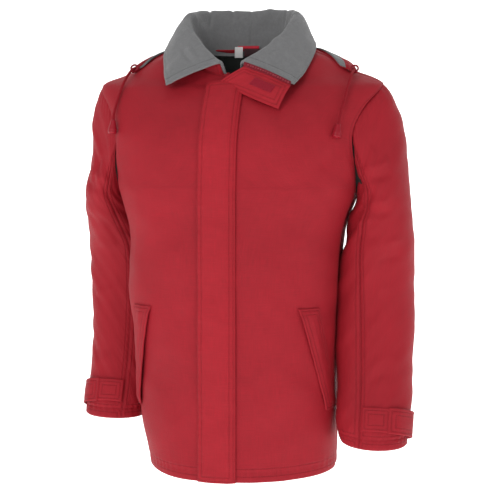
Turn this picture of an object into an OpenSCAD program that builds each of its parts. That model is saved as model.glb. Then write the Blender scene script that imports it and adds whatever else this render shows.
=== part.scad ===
// Foul weather jacket, padded, fleece-lined collar, hood lying on the back.
// Millimetres. Origin at the nape, where the hanger loop is sewn. +X is the wearer's left,
// -Y is the front, +Z is up.

/* [Body] */
// Half width at the hem
hem_half_w = 165; // [150:2:200]
// Half width at the waist
waist_half_w = 172; // [155:2:205]
// Half width at the chest
chest_half_w = 204; // [175:2:225]
// Half width at the shoulder seam ends
shoulder_half_w = 244; // [225:2:265]
// Distance from the nape to the side hem
nape_to_hem = 714; // [600:5:800]
// How far the front hem hangs below the side hem
hem_drop = 16; // [0:2:40]
// Front surface, forward of the nape
front_y = -232; // [-260:2:-210]
// Back surface at the shoulder blades, behind the nape
back_y = 32; // [15:1:45]

/* [Layers] */
// Outer shell fabric
shell_t = 1.6; // [1.2:0.1:2.5]
// Wadding between shell and lining
wadding_t = 4; // [2:0.5:7]
// Body lining
lining_t = 1.4; // [1:0.1:2.5]
// Collar, shell side
collar_shell_t = 2.4; // [1.6:0.2:4]
// Collar fleece
fleece_t = 4.6; // [3:0.2:6]
// Hood, shell side
hood_shell_t = 2; // [1.4:0.2:3]
// Hood fleece lining
hood_fleece_t = 2.6; // [1.6:0.2:4]

/* [Sleeves] */
// Sleeve radius at the biceps
biceps_r = 61; // [56:1:72]
// Sleeve radius at the elbow
elbow_r = 58; // [52:1:66]
// Sleeve radius at the cuff
cuff_r = 52; // [44:1:58]
// Gap of the seam between armhole and sleeve
armhole_gap = 2; // [1.6:0.1:3]
// Height of the cuff's turned hem
cuff_hem_h = 18; // [12:1:30]

/* [Front closure] */
// Width of the storm flap
flap_w = 64; // [56:1:80]
// Thickness of the storm flap
flap_t = 4; // [2.5:0.5:6]
// Space between the front and the storm flap, where the zip slider runs
flap_gap = 8; // [7.5:0.5:11]
// Width of the gap between the front edges, which the zip fills
zip_gap = 13; // [11:0.5:16]
// Pitch of the zip teeth
tooth_pitch = 5; // [4:0.5:8]
// Length of the slider's travel
slider_travel = 430; // [300:5:440]

/* [Cords and tabs] */
// Drawcord diameter
cord_d = 4.5; // [3:0.5:6]
// Cord end's largest diameter
cord_end_d = 15; // [11:1:18]
// Height of the cuff tab
tab_h = 40; // [30:1:50]
// Thickness of the cuff tab
tab_t = 3; // [2:0.2:4]
// Thickness of a hook or loop patch
patch_t = 1.2; // [0.8:0.1:2]

/* [Hidden] */
red = [0.62, 0.07, 0.11];
dark_red = [0.5, 0.03, 0.07];
grey = [0.36, 0.36, 0.365];
dark_grey = [0.09, 0.1, 0.1];

// ---- helpers ----
function lerp(a, b, t) = a + (b - a) * t;
function clamp(t, lo, hi) = min(hi, max(lo, t));
function ease(t) = let (c = clamp(t, 0, 1)) c * c * (3 - 2 * c);
function unit(v) = v / norm(v);
function flip_x(p) = [-p[0], p[1], p[2]];
// Catmull-Rom curve through the rows of a table, at index s from 0 to len - 1.
function through(table, s) =
    let (
        n = len(table) - 1,
        i = min(n - 1, max(0, floor(s))),
        t = s - i,
        p1 = table[i],
        p2 = table[i + 1],
        p0 = i > 0 ? table[i - 1] : 2 * p1 - p2,
        p3 = i < n - 1 ? table[i + 2] : 2 * p2 - p1
    )
    0.5 * (2 * p1 + (p2 - p0) * t + (2 * p0 - 5 * p1 + 4 * p2 - p3) * t * t
        + (3 * p1 - p0 - 3 * p2 + p3) * t * t * t);

// A closed solid between two grids of points of the same size, rows by columns.
// With ring = true the columns close on themselves.
module between(outer, inner, ring = false) {
    rows = len(outer);
    cols = len(outer[0]);
    last = ring ? cols : cols - 1;
    n = rows * cols;
    function at(i, j) = i * cols + j % cols;
    function two(a, b, c, d) = [[a, b, c], [a, c, d]];
    faces = [
        for (i = [0:rows - 2], j = [0:last - 1])
            each two(at(i, j), at(i + 1, j), at(i + 1, j + 1), at(i, j + 1)),
        for (i = [0:rows - 2], j = [0:last - 1])
            each two(n + at(i, j), n + at(i, j + 1), n + at(i + 1, j + 1), n + at(i + 1, j)),
        for (j = [0:last - 1])
            each two(at(0, j), at(0, j + 1), n + at(0, j + 1), n + at(0, j)),
        for (j = [0:last - 1])
            each two(at(rows - 1, j + 1), at(rows - 1, j), n + at(rows - 1, j), n + at(rows - 1, j + 1)),
        if (!ring) for (i = [0:rows - 2])
            each two(at(i + 1, 0), at(i, 0), n + at(i, 0), n + at(i + 1, 0)),
        if (!ring) for (i = [0:rows - 2])
            each two(at(i, cols - 1), at(i + 1, cols - 1), n + at(i + 1, cols - 1), n + at(i, cols - 1))
    ];
    polyhedron([for (r = outer) each r, for (r = inner) each r], faces, convexity = 8);
}

// ---- body: rings from the hem (0) up to the neck (10) ----
// Each row: side height, half width, front y, back y, roundness, front's extra height.
body_rows = [
    [-nape_to_hem, hem_half_w, front_y, back_y - 12, 2.3, -hem_drop],
    [-590, lerp(hem_half_w, waist_half_w, 0.6), front_y, back_y - 16, 2.3, -8],
    [-430, waist_half_w, front_y, back_y - 20, 2.3, 0],
    [-315, lerp(waist_half_w, chest_half_w, 0.25), front_y, back_y - 8, 2.35, 0],
    [-245, chest_half_w, front_y + 1, back_y, 2.4, 0],
    [-165, chest_half_w + 16, front_y + 12, back_y + 2, 2.4, -2],
    [-108, shoulder_half_w - 5, front_y + 40, back_y - 6, 2.35, -6],
    [-66, shoulder_half_w, front_y + 66, back_y - 20, 2.2, -16],
    [-42, 186, front_y + 76, back_y - 27, 2.1, -30],
    [-20, 132, front_y + 81, back_y - 31, 2.05, -42],
    [-6, 88, front_y + 84, back_y - 32, 2, -46]
];
underarm = 4; // ring at the bottom of the armhole
shoulder = 7; // ring at the top of the armhole
neck = 10;
armhole_open = 27; // half angle of the armhole at its widest
body_t = shell_t + wadding_t + lining_t;

// A point of the body at ring s and angle a (0 wearer's left, -90 front), depth d under the surface.
function body_point(s, a, d = 0) =
    let (
        r = through(body_rows, s),
        half = r[1] - d,
        yc = (r[2] + r[3]) / 2,
        b = (r[3] - r[2]) / 2 - d,
        e = 2 / r[4],
        c = cos(a),
        q = sin(a),
        front = (1 - q) / 2
    )
    [
        sign(c) * half * pow(abs(c), e),
        yc + sign(q) * b * pow(abs(q), e),
        r[0] + r[5] * pow(front, 2) + 1.2 * max(0, s - 6) * -d / 4
    ];
function armhole_angle(s) =
    s <= underarm || s >= shoulder ? 0
    : armhole_open * pow(sin(180 * (s - underarm) / (shoulder - underarm)), 0.7);
// Angle at which a front panel stops, beside the zip.
function edge_angle(s) = acos(pow(zip_gap / 2 / through(body_rows, s)[1], through(body_rows, s)[4] / 2));
body_steps = [0, 1, 2, 3, 3.5, 4, 4.25, 4.75, 5.25, 5.75, 6.25, 6.75, 7, 8, 9, neck];
function front_grid(side, d, cols = 7) = [
    for (s = body_steps)
        [
            for (j = [0:cols])
                let (p = body_point(s, -lerp(armhole_angle(s), edge_angle(s), j / cols), d))
                side > 0 ? p : flip_x(p)
        ]
];
function back_grid(d, cols = 12) = [
    for (s = body_steps)
        [for (j = [0:cols]) body_point(s, lerp(armhole_angle(s), 180 - armhole_angle(s), j / cols), d)]
];
module front_layer(side, d0, d1) {
    if (side > 0) between(front_grid(side, d0), front_grid(side, d1));
    else between(front_grid(side, d1), front_grid(side, d0));
}
module front_shell(side) { color(red) front_layer(side, 0, shell_t); }
module wadding_front(side) { color("ivory") front_layer(side, shell_t, shell_t + wadding_t); }
module lining_front(side) { color(dark_grey) front_layer(side, shell_t + wadding_t, body_t); }
module back_layer(d0, d1) { between(back_grid(d1), back_grid(d0)); }
module back_shell() { color(red) back_layer(0, shell_t); }
module wadding_back() { color("ivory") back_layer(shell_t, shell_t + wadding_t); }
module lining_back() { color(dark_grey) back_layer(shell_t + wadding_t, body_t); }

// ---- sleeves ----
// Rings of a sleeve from the underarm to the cuff: centre x, y, z, half width, half depth.
inner_x = through(body_rows, underarm)[1];
function sleeve_rows(side) = side > 0
    ? [
        [inner_x + 46, -92, -262, 46, biceps_r + 1],
        [waist_half_w + 70, -88, -332, biceps_r - 3, biceps_r],
        [waist_half_w + 71, -94, -440, elbow_r, elbow_r],
        [waist_half_w + 74, -118, -560, lerp(elbow_r, cuff_r, 0.5), lerp(elbow_r, cuff_r, 0.5)],
        [waist_half_w + 72, -151, -682, cuff_r, cuff_r]
    ]
    : [
        [inner_x + 38, -78, -262, 38, biceps_r + 1],
        [waist_half_w + 57, -26, -332, biceps_r - 3, biceps_r],
        [waist_half_w + 53, -20, -430, elbow_r, elbow_r],
        [waist_half_w + 52, -42, -545, lerp(elbow_r, cuff_r, 0.5), lerp(elbow_r, cuff_r, 0.5)],
        [waist_half_w + 56, -80, -660, cuff_r, cuff_r]
    ];
cuff_row = 4;
function sleeve_dir(side, s) = unit([
    for (k = [0:2])
        through(sleeve_rows(side), min(cuff_row, s + 0.05))[k] - through(sleeve_rows(side), max(0, s - 0.05))[k]
]);
// A point of the sleeve tube: s from 0 to 4, angle a (0 outside, 90 front), depth d.
function tube_point(side, s, a, d) =
    let (
        r = through(sleeve_rows(side), s),
        dir = s < 0.3 ? [0, 0, -1] : sleeve_dir(side, s),
        forward = unit([0, -1, 0] - dir * (dir * [0, -1, 0])),
        out = cross(forward, dir)
    )
    [r[0], r[1], r[2]] + (r[3] - d) * cos(a) * out + (r[4] - d) * sin(a) * forward;
function armhole_point(a, d) =
    let (
        mid = (underarm + shoulder) / 2,
        s = mid + (shoulder - underarm) / 2 * cos(a),
        turn = armhole_angle(s) * (a < 180 ? -1 : 1),
        p = body_point(s, turn) + [armhole_gap, 0, -armhole_gap * 0.6],
        centre = (body_point(underarm, 0) + body_point(shoulder, 0)) / 2
    )
    p + d * unit(centre - p);
// Columns of a sleeve: one at each of the armhole's corners, with one between two corners.
armhole_steps = [for (s = body_steps) if (s >= underarm && s <= shoulder) s];
corner_n = 2 * (len(armhole_steps) - 1);
function corner_a(k) =
    k > corner_n / 2 ? 360 - corner_a(corner_n - k)
    : acos(clamp((armhole_steps[len(armhole_steps) - 1 - k] - (underarm + shoulder) / 2)
        / (shoulder - underarm) * 2, -1, 1));
sleeve_n = 2 * corner_n;
function sleeve_a(j) = (corner_a(floor(j / 2)) + corner_a(floor((j + 1) / 2))) / 2;
function armhole_at(j, d) =
    (armhole_point(corner_a(floor(j / 2)), d) + armhole_point(corner_a(floor((j + 1) / 2)), d)) / 2;
function cap_bulge(side) = side > 0 ? 22 : 12; // how far the cap stands out from a straight line
function sleeve_point(side, t, j, d) =
    let (
        k = clamp(t + 1, 0, 1),
        a = sleeve_a(j),
        flat = lerp(armhole_at(j, d), tube_point(side, 0, a, d), k),
        p = t > 0 ? tube_point(side, t, a, d)
            : flat + sin(180 * pow(k, 0.75)) * max(0, 0.35 + 0.65 * cos(a)) * cap_bulge(side) * [0.95, 0, 0.3]
    )
    side > 0 ? p : flip_x(p);
// The tab is sewn into the sleeve's front seam and wraps outwards to the back.
row_length = 122; // of the centre line's last row
cuff_s = cuff_row - cuff_hem_h / row_length;
tab_seam_a = 62;
tab_tip_a = -52;
tab_s1 = cuff_s - 0.03;
tab_s0 = tab_s1 - tab_h / row_length;
tab_lift = patch_t * 2 + 0.9;
// Below 0 the rings belong to the cap, from the armhole on.
sleeve_steps = [-1, -0.9, -0.75, -0.5, -0.25, 0, 0.5, 1, 2, 3, tab_s0, tab_s1, cuff_s, cuff_row];
function sleeve_grid(side, d) = [
    for (t = sleeve_steps) [for (j = [0:sleeve_n - 1]) sleeve_point(side, t, j, d)]
];
module sleeve_layer(side, d0, d1) {
    if (side > 0) between(sleeve_grid(side, d0), sleeve_grid(side, d1), true);
    else between(sleeve_grid(side, d1), sleeve_grid(side, d0), true);
}
module sleeve(side) { color(red) sleeve_layer(side, 0, shell_t + wadding_t); }
module sleeve_lining(side) { color(dark_grey) sleeve_layer(side, shell_t + wadding_t, body_t); }

// A band round the sleeve's end, over its surface: rows s0 to s1, angles a0 to a1, height d0 to d1 proud.
function band_grid(side, s0, s1, a0, a1, d, rows, cols, ring = false) = [
    for (i = [0:rows])
        [
            for (j = [0:ring ? cols - 1 : cols])
                let (p = tube_point(side, lerp(s0, s1, i / rows), lerp(a0, a1, j / cols), -d))
                side > 0 ? p : flip_x(p)
        ]
];
module band(side, s0, s1, a0, a1, d0, d1, rows = 1, cols = 10, ring = false) {
    grids = [for (d = [d1, d0]) band_grid(side, s0, s1, a0, a1, d, rows, cols, ring)];
    if (side > 0) between(grids[0], grids[1], ring);
    else between(grids[1], grids[0], ring);
}
module cuff_hem(side) {
    function at(d) = [
        for (s = [cuff_s, cuff_row])
            [
                for (j = [0:sleeve_n - 1])
                    let (p = tube_point(side, s, sleeve_a(j), -d)) side > 0 ? p : flip_x(p)
            ]
    ];
    color(red) {
        if (side > 0) between(at(1.5), at(0.12), true);
        else between(at(0.12), at(1.5), true);
    }
}
module cuff_tab(side) {
    color(red) band(side, tab_s0, tab_s1, tab_tip_a, tab_seam_a - 1, tab_lift, tab_lift + tab_t, 2, 20);
}
module cuff_loop_patch(side) {
    color(dark_red) band(side, tab_s0 + 0.05, tab_s1 - 0.05, tab_tip_a + 6, 14, 0.2, patch_t + 0.2, 1, 12);
}
module cuff_hook_patch(side) {
    color(dark_red)
        band(side, tab_s0 + 0.05, tab_s1 - 0.05, tab_tip_a + 4, -14, tab_lift - patch_t - 0.2, tab_lift - 0.2,
            2, 8);
}

// ---- collar: five stations from the front end to the nape, mirrored ----
// Neck seam, roll and edge points of each station.
neck_side = through(body_rows, neck)[1];
collar_base = [
    [12, -147, -50], [58, -126, -38], [neck_side - 4, -74, -14], [60, -16, -3], [0, 0.5, -3]
];
collar_roll = [
    [17, -163, -38], [62, -126, -8], [92, -70, 40], [62, -4, 56], [0, 14, 58]
];
collar_edge = [
    [108, -178, -76], [121, -134, -50], [127, -78, -8], [84, 16, 18], [0, 34, 22]
];
collar_split = 1.5; // station where a wing meets the collar's back
collar_t = collar_shell_t + fleece_t;
// A point of the collar: station s from 0 to 4, h from 0 at the neck seam over the roll (0.45) to 1 at the edge.
function collar_mid(s, h) =
    let (
        b = through(collar_base, s),
        r = through(collar_roll, s),
        e = through(collar_edge, s),
        q = h / 0.45,
        w = (h - 0.45) / 0.55,
        crest = lerp(b, r, 1) + [0, 0, 6 * (1 - abs(2 * s / 4 - 1))],
        up = lerp(b, crest, q),
        down = lerp(crest, e, w) + [0, 0, 10] * sin(180 * w)
    )
    h <= 0.45 ? up : down;
function collar_normal(s, h) =
    let (
        e = 0.04,
        du = collar_mid(min(4, s + e), h) - collar_mid(max(0, s - e), h),
        dv = collar_mid(s, min(1, h + 0.06)) - collar_mid(s, max(0, h - 0.06))
    )
    unit(cross(dv, du));
function collar_point(s, h, d) =
    let (p = collar_mid(s, h), n = collar_normal(s, h), q = p + n * d) s > 3.999 ? [0, q[1], q[2]] : q;
collar_heights = [0, 0.2, 0.36, 0.45, 0.56, 0.75, 1];
function collar_grid(s0, s1, d, cols) = [
    for (h = collar_heights) [for (j = [0:cols]) collar_point(lerp(s0, s1, j / cols), h, d)]
];
function mirrored(grid) = [for (r = grid) [for (p = r) flip_x(p)]];
function whole(grid) = [
    for (r = grid) [for (p = r) p, for (j = [len(r) - 2:-1:0]) flip_x(r[j])]
];
collar_wing_gap = 0.03; // in stations, between a wing and the collar's back
roll_gap = 1.2; // between a wing and the collar's stand
module collar_back_layer(d0, d1) {
    between(whole(collar_grid(collar_split, 4, d1, 7)), whole(collar_grid(collar_split, 4, d0, 7)));
}
// The stand in front of it, up to the roll.
module collar_stand(side) {
    function at(d) = [
        for (h = [0, 0.2, 0.36, 0.44])
            [for (j = [0:5]) collar_point((collar_split - collar_wing_gap) * j / 5, h, d)]
    ];
    color(red) {
        if (side > 0) between(at(fleece_t), at(-collar_shell_t));
        else between(mirrored(at(-collar_shell_t)), mirrored(at(fleece_t)));
    }
}
// A wing: the front part of the collar, folded over the stand at the roll.
wing_heights = [0.49, 0.58, 0.68, 0.8, 0.9, 1];
module wing_layer(side, d0, d1) {
    function at(d) = [
        for (h = wing_heights)
            [for (j = [0:5]) collar_point((collar_split - collar_wing_gap) * j / 5, h, d)]
    ];
    if (side > 0) between(at(d1), at(d0));
    else between(mirrored(at(d0)), mirrored(at(d1)));
}
module collar_back_shell() { color(red) collar_back_layer(-collar_shell_t, 0); }
module collar_back_fleece() { color(grey) collar_back_layer(0, fleece_t); }
module wing_shell(side) { color(red) wing_layer(side, -collar_shell_t, 0); }
module wing_fleece(side) { color(grey) wing_layer(side, 0, fleece_t); }

// ---- a patch of cloth lying on the body, over rows s0 to s1 ----
// Its side edges are given as angles at the top row and at the bottom row.
module body_patch(side, s0, s1, top, bottom, d0, d1, rows = 6, cols = 3) {
    function at(d) = [
        for (i = [0:rows])
            [
                for (j = [0:cols])
                    let (
                        t = i / rows,
                        p = body_point(lerp(s0, s1, t), -lerp(lerp(bottom[0], bottom[1], j / cols),
                            lerp(top[0], top[1], j / cols), t), -d)
                    )
                    side > 0 ? p : flip_x(p)
            ]
    ];
    if (side > 0) between(at(d1), at(d0));
    else between(at(d0), at(d1));
}

// ---- hand pockets: a padded welt over a slanted opening, the bag behind the shell ----
pocket_s0 = 0.85;
pocket_s1 = 1.92;
pocket_top = [31, 49];
pocket_bottom = [6, 24];
pocket_gap = 6; // between the welt and the front, where the hand goes in
// The welt is sewn along its outer edge and its two ends; a hand slides behind it from the front.
module pocket_welt(side) {
    function lift(i, j) = i == 0 || i == 8 || j == 0 ? 0.3 : pocket_gap;
    function at(d) = [
        for (i = [0:8])
            [
                for (j = [0:4])
                    let (
                        t = i / 8,
                        a = lerp(lerp(pocket_bottom[0], pocket_bottom[1], j / 4),
                            lerp(pocket_top[0], pocket_top[1], j / 4), t),
                        p = body_point(lerp(pocket_s0, pocket_s1, t), -a, -d - lift(i, j))
                    )
                    side > 0 ? p : flip_x(p)
            ]
    ];
    color(red) {
        if (side > 0) between(at(4), at(0));
        else between(at(0), at(4));
    }
}
module pocket_bag(side) {
    color(dark_grey)
        body_patch(side, 0.75, 1.95, [31, 70], [8, 58], -body_t - 4, -body_t - 3, 6, 6);
}

// ---- a point on the front at a given x and z, h proud of it ----
function front_s(x, z, lo = 0, hi = neck, n = 16) =
    n == 0 ? (lo + hi) / 2
    : let (mid = (lo + hi) / 2)
        front_at(x, mid)[2] < z ? front_s(x, z, mid, hi, n - 1) : front_s(x, z, lo, mid, n - 1);
function front_at(x, s, h = 0) =
    let (
        r = through(body_rows, s),
        a = -acos(pow(min(1, abs(x) / r[1]), r[4] / 2)),
        p = body_point(s, a, 0),
        q = body_point(s, a, -h)
    )
    [x, p[1] + (q[1] - p[1]) * 1, q[2]];
function front(x, z, h = 0) = front_at(x, front_s(x, z), h);

// ---- zip ----
chest_z = -250; // the front is straight and upright below this height
hem_z = -nape_to_hem - hem_drop;
slider_z = -262;
slider_l = 13;
tooth_w = 3.4;
tape_depth = 2.2;
// Half of the space between the two rows of teeth: nothing below the slider, open above it.
function parted(z) = 1.7 * ease((z - slider_z + 4) / 30);
zip_top = front_at(0, neck - 0.6)[2];
module zip_tape(side) {
    function at(d) = [
        for (i = [0:28])
            let (z = lerp(hem_z + 21.6, zip_top, i / 28))
            [
                for (x = [parted(z) + 1.5, zip_gap / 2 - 0.4])
                    let (p = front(x, z, -d)) side > 0 ? p : flip_x(p)
            ]
    ];
    color(dark_red) {
        if (side > 0) between(at(tape_depth + 1.2), at(tape_depth));
        else between(at(tape_depth), at(tape_depth + 1.2));
    }
}
tooth_n = floor((zip_top - hem_z - 30) / tooth_pitch);
module zip_teeth() {
    color("dimgray")
        for (i = [0:tooth_n - 1])
            let (
                z = hem_z + 24 + i * tooth_pitch,
                side = i % 2 == 0 ? 1 : -1,
                p = front(0, z, -tape_depth)
            )
            translate([
                side * (parted(z) + 0.6) - (side > 0 ? 0 : tooth_w),
                p[1] - 2.2 - 3 * ease((z + 230) / 100),
                p[2]
            ])
                cube([tooth_w, 1.5, tooth_pitch - 0.8]);
}
// Bottom box of the zip and the stops at its top.
module zip_box() {
    color("dimgray")
        translate([-zip_gap / 2 + 0.4, front_y + tape_depth - 2.4, hem_z + 10])
            cube([zip_gap - 0.8, 4.2, 11]);
}
module zip_slider() {
    color("dimgray") translate([0, front_y - 0.2, slider_z]) {
        // front plate, its bridge and the back plate, joined by the post between the parted teeth
        rotate([90, 0, 0]) linear_extrude(1.4)
            polygon([[-4, 0], [4, 0], [5.2, slider_l], [-5.2, slider_l]]);
        translate([0, 6.1, 0]) rotate([90, 0, 0]) linear_extrude(1.3)
            polygon([[-4, 0], [4, 0], [5.2, slider_l], [-5.2, slider_l]]);
        translate([-0.5, -0.1, slider_l - 4]) cube([1, 5.4, 4]);
        translate([-1.2, -3.6, slider_l - 9]) cube([2.4, 2.4, 1.6]);
        translate([-1.2, -3.6, slider_l - 2.4]) cube([2.4, 2.4, 1.6]);
        translate([-1.2, -4.3, slider_l - 9]) cube([2.4, 0.9, 8.2]);
    }
}
// The pull hangs from the slider's bridge and swings out under the storm flap.
pull_z = slider_z + slider_l - 3.4;
module zip_puller() {
    color("dimgray") translate([0, front_y - 3.1, pull_z]) {
        translate([-3.6, -0.5, -24]) cube([7.2, 1.4, 17.6]);
        translate([-3.6, -0.5, -6.6]) cube([2, 1.4, 7.6]);
        translate([1.6, -0.5, -6.6]) cube([2, 1.4, 7.6]);
        translate([-3.6, -0.4, -0.9]) cube([7.2, 1, 1.2]);
    }
}

// ---- storm flap: sewn on the wearer's left of the zip, lying over it ----
flap_sewn_x = 21;
flap_free_x = flap_sewn_x - flap_w;
flap_split_z = -212; // below it the flap opens, above it the flap stays put
flap_seam_h = 0.3;
function flap_rise(x) = lerp(flap_seam_h, flap_gap, ease((flap_sewn_x - x) / 11));
flap_columns = [for (j = [0:8]) flap_sewn_x - flap_w * [0, 0.04, 0.09, 0.15, 0.22, 0.45, 0.65, 0.85, 1][j]];
module flap_piece(z0, z1, rows, hang = 0) {
    function at(h) = [
        for (i = [0:rows])
            [
                for (x = flap_columns)
                    let (
                        t = i / rows,
                        z = lerp(z0, z1, t) - hang * (1 - t) * (flap_sewn_x - x) / flap_w,
                        p = front(x, z, 0)
                    )
                    [x, p[1] - flap_rise(x) - h, p[2]]
            ]
    ];
    color(red) between(at(0), at(flap_t));
}
module storm_flap() { flap_piece(hem_z - 1, flap_split_z, 10, 3); }
module storm_flap_top() { flap_piece(flap_split_z + 1, zip_top - 17, 8); }
patch_w = 22;
patch_h = 28;
patch_n = 5;
patch_x = flap_free_x + 6;
function patch_z(i) = lerp(hem_z + 60, -300, i / (patch_n - 1));
// Hook side, on the flap's inner face near its free edge.
module storm_flap_hook_patches() {
    color(dark_red)
        for (i = [0:patch_n - 1])
            let (p = front(patch_x + patch_w / 2, patch_z(i), 0))
            translate([patch_x, p[1] - flap_gap + 1.3, patch_z(i)]) cube([patch_w, patch_t, patch_h]);
}
// Loop side, on the right front.
module front_loop_patches() {
    color(dark_red)
        for (i = [0:patch_n - 1])
            let (p = front(patch_x, patch_z(i), 0))
            translate([patch_x, p[1] - patch_t - 1.4, patch_z(i)]) cube([patch_w, patch_t, patch_h]);
}

// ---- the storm flap's upper end, folded out with the wearer's left collar wing ----
flap_end_w = 42;
function flap_end_point(i, j, h) =
    let (
        q = collar_point(0, lerp(0.5, 0.97, i / 6), collar_shell_t),
        p = collar_point(0, lerp(0.5, 0.97, i / 6), -collar_shell_t),
        w = lerp(3, flap_end_w * lerp(0.72, 1, i / 6), j / 4)
    )
    (p + q) / 2 + w * unit([-0.12, -0.6, -0.78]) + h * unit([0, -0.78, 0.6]);
module collar_flap_end() {
    function at(h) = [for (i = [0:6]) [for (j = [0:4]) flap_end_point(i, j, h)]];
    color(red) between(at(0), at(flap_t - 1));
}
module collar_flap_patch() {
    function at(h) = [for (i = [1:0.5:2.5]) [for (j = [1.2:0.8:3.6]) flap_end_point(i + 2, j, h)]];
    color(dark_red) between(at(flap_t - 0.7), at(flap_t - 0.7 + patch_t));
}

// ---- hood: a pouch hanging down the back, and its two sides along the shoulders ----
// Rings of the pouch from its mouth down: z, half width, front y, back y.
hood_rows = [
    [-24, 168, 8, 84],
    [-60, 172, 16, 108],
    [-120, 162, 34, 118],
    [-185, 138, 40, 112],
    [-240, 104, 41, 92],
    [-272, 62, 46, 74]
];
function hood_point(s, a, d) =
    let (
        r = through(hood_rows, s),
        b = (r[3] - r[2]) / 2,
        c = cos(a),
        q = sin(a)
    )
    [
        sign(c) * (r[1] - d) * pow(abs(c), 0.8),
        (r[2] + r[3]) / 2 + sign(q) * (b - d) * pow(abs(q), 0.9) + 16 * pow((r[1] * c) / 172, 2)
            * (q < 0 ? -0.2 : -1.2),
        r[0] + 14 * (q < 0 ? -q : 0)
    ];
// A cup: rings joined to a point at the bottom, outside and inside, and a rim between them.
module cup(d0, d1, cols = 28) {
    rows = 10;
    n = (rows + 1) * cols;
    function pt(i, j, d) = hood_point(5 * i / rows, -360 * j / cols, d);
    function pole(d) = let (p = hood_point(5, 90, 0), q = hood_point(5, -90, 0)) (p + q) / 2 - [0, 0, 12 - d];
    function at(i, j) = i * cols + j % cols;
    function two(a, b, c, d) = [[a, b, c], [a, c, d]];
    points = concat(
        [for (i = [0:rows], j = [0:cols - 1]) pt(i, j, d0)],
        [for (i = [0:rows], j = [0:cols - 1]) pt(i, j, d1)],
        [pole(d0), pole(d1)]
    );
    faces = [
        for (i = [0:rows - 1], j = [0:cols - 1])
            each two(at(i, j), at(i + 1, j), at(i + 1, j + 1), at(i, j + 1)),
        for (i = [0:rows - 1], j = [0:cols - 1])
            each two(n + at(i, j), n + at(i, j + 1), n + at(i + 1, j + 1), n + at(i + 1, j)),
        for (j = [0:cols - 1])
            each two(at(0, j), at(0, j + 1), n + at(0, j + 1), n + at(0, j)),
        for (j = [0:cols - 1]) [at(rows, j), 2 * n, at(rows, j + 1)],
        for (j = [0:cols - 1]) [n + at(rows, j), n + at(rows, j + 1), 2 * n + 1]
    ];
    polyhedron(points, faces, convexity = 6);
}
module hood_pouch_shell() { color(red) cup(0, hood_shell_t); }
module hood_pouch_fleece() { color(grey) cup(hood_shell_t, hood_shell_t + hood_fleece_t); }

// A side runs from the pouch over the shoulder's top to its front corner, where the cord comes out.
hood_side_route = [
    [158, 20, -24], [166, 0, -16], [174, -26, -18], [184, -54, -27], [193, -76, -40], [198, -92, -50]
];
hood_side_in = [
    [118, 5, -8], [120, -8, 2], [124, -26, 4], [132, -50, -4], [144, -72, -18], [158, -90, -36]
];
module hood_side(side) {
    function at(h) = [
        for (i = [0:10])
            [
                for (j = [0:3])
                    let (
                        a = through(hood_side_route, i / 2),
                        b = through(hood_side_in, i / 2),
                        p = lerp(b, a, j / 3) + [0, 0, h + 3 * sin(60 * j)]
                    )
                    side > 0 ? p : flip_x(p)
            ]
    ];
    color(red) {
        if (side > 0) between(at(7), at(1));
        else between(at(1), at(7));
    }
}

// ---- drawcords ----
eyelet_right = [-184, -99, -42];
eyelet_left = [198, -98, -46];
module eyelets() {
    color("silver")
        for (p = [eyelet_right, eyelet_left])
            translate(p)
                rotate([60, 0, 0])
                    difference() {
                        cylinder(h = 1.6, r = 7.4, $fn = 32);
                        translate([0, 0, -1]) cylinder(h = 4, r = cord_d / 2 + 2.2, $fn = 32);
                    }
}
// Routes of the cords' centre lines, from the eyelet to the cord end.
cord_route_right = [
    [-184, -98, -42], [-185, -110, -45], [-188, -127, -55], [-193, -142, -72], [-198, -155, -96],
    [-202, -164, -118], [-203, -167, -132]
];
cord_route_left = [
    [198, -97, -46], [198, -110, -49], [196, -128, -58], [193, -146, -76], [189, -162, -100],
    [184, -176, -124], [182, -182, -140]
];
// A round tube along a route: 8 sides, a ring every 8 to 10 mm.
module cord(route) {
    rings = 15;
    function at(t) = through(route, t * (len(route) - 1));
    function dir(t) = unit(at(min(1, t + 0.01)) - at(max(0, t - 0.01)));
    function ring(t) =
        let (w = dir(t), u = unit(cross(w, [1, 0, 0])), v = cross(w, u))
        [for (k = [0:7]) at(t) + cord_d / 2 * (cos(45 * k) * u + sin(45 * k) * v)];
    points = [for (i = [0:rings]) each ring(i / rings)];
    faces = [
        [for (k = [7:-1:0]) k],
        [for (k = [0:7]) rings * 8 + k],
        for (i = [0:rings - 1], k = [0:7])
            each [
                [i * 8 + k, i * 8 + (k + 1) % 8, (i + 1) * 8 + (k + 1) % 8],
                [i * 8 + k, (i + 1) * 8 + (k + 1) % 8, (i + 1) * 8 + k]
            ]
    ];
    color(dark_red) polyhedron(points, faces, convexity = 4);
}
// Bell-shaped end: a stopper closed over the cord's knot.
module cord_end(p, q) {
    w = unit(q - p);
    color(dark_grey) translate(q)
        rotate([0, acos(w[2]), atan2(w[1], w[0])])
            rotate_extrude($fn = 36)
                polygon([
                    [0, 0], [cord_d / 2 + 1.4, 0], [cord_d / 2 + 2, 4], [cord_end_d / 2 - 1.4, 12],
                    [cord_end_d / 2, 17], [cord_end_d / 2, 21], [cord_end_d / 2 - 1.6, 23.5], [0, 23.5]
                ]);
}
module cord_end_right() { cord_end(cord_route_right[5], cord_route_right[6]); }
module cord_end_left() { cord_end(cord_route_left[5], cord_route_left[6]); }

// ---- hanger loop and labels at the nape, on the inside ----
nape_y = back_y - 32 - body_t;
module hanger_loop() {
    color(dark_red) translate([0, nape_y - 1.6, -4])
        rotate([90, 0, 0]) linear_extrude(3)
            difference() {
                translate([-22, -9]) square([44, 11]);
                translate([-16, -5.5]) square([32, 4.5]);
            }
}
module size_label() {
    color("white") translate([-20, nape_y - 4.2, -35]) cube([10, 1, 20]);
}
module maker_label() {
    color("black") translate([-2, nape_y - 4.2, -37]) cube([28, 1, 20]);
}

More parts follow.
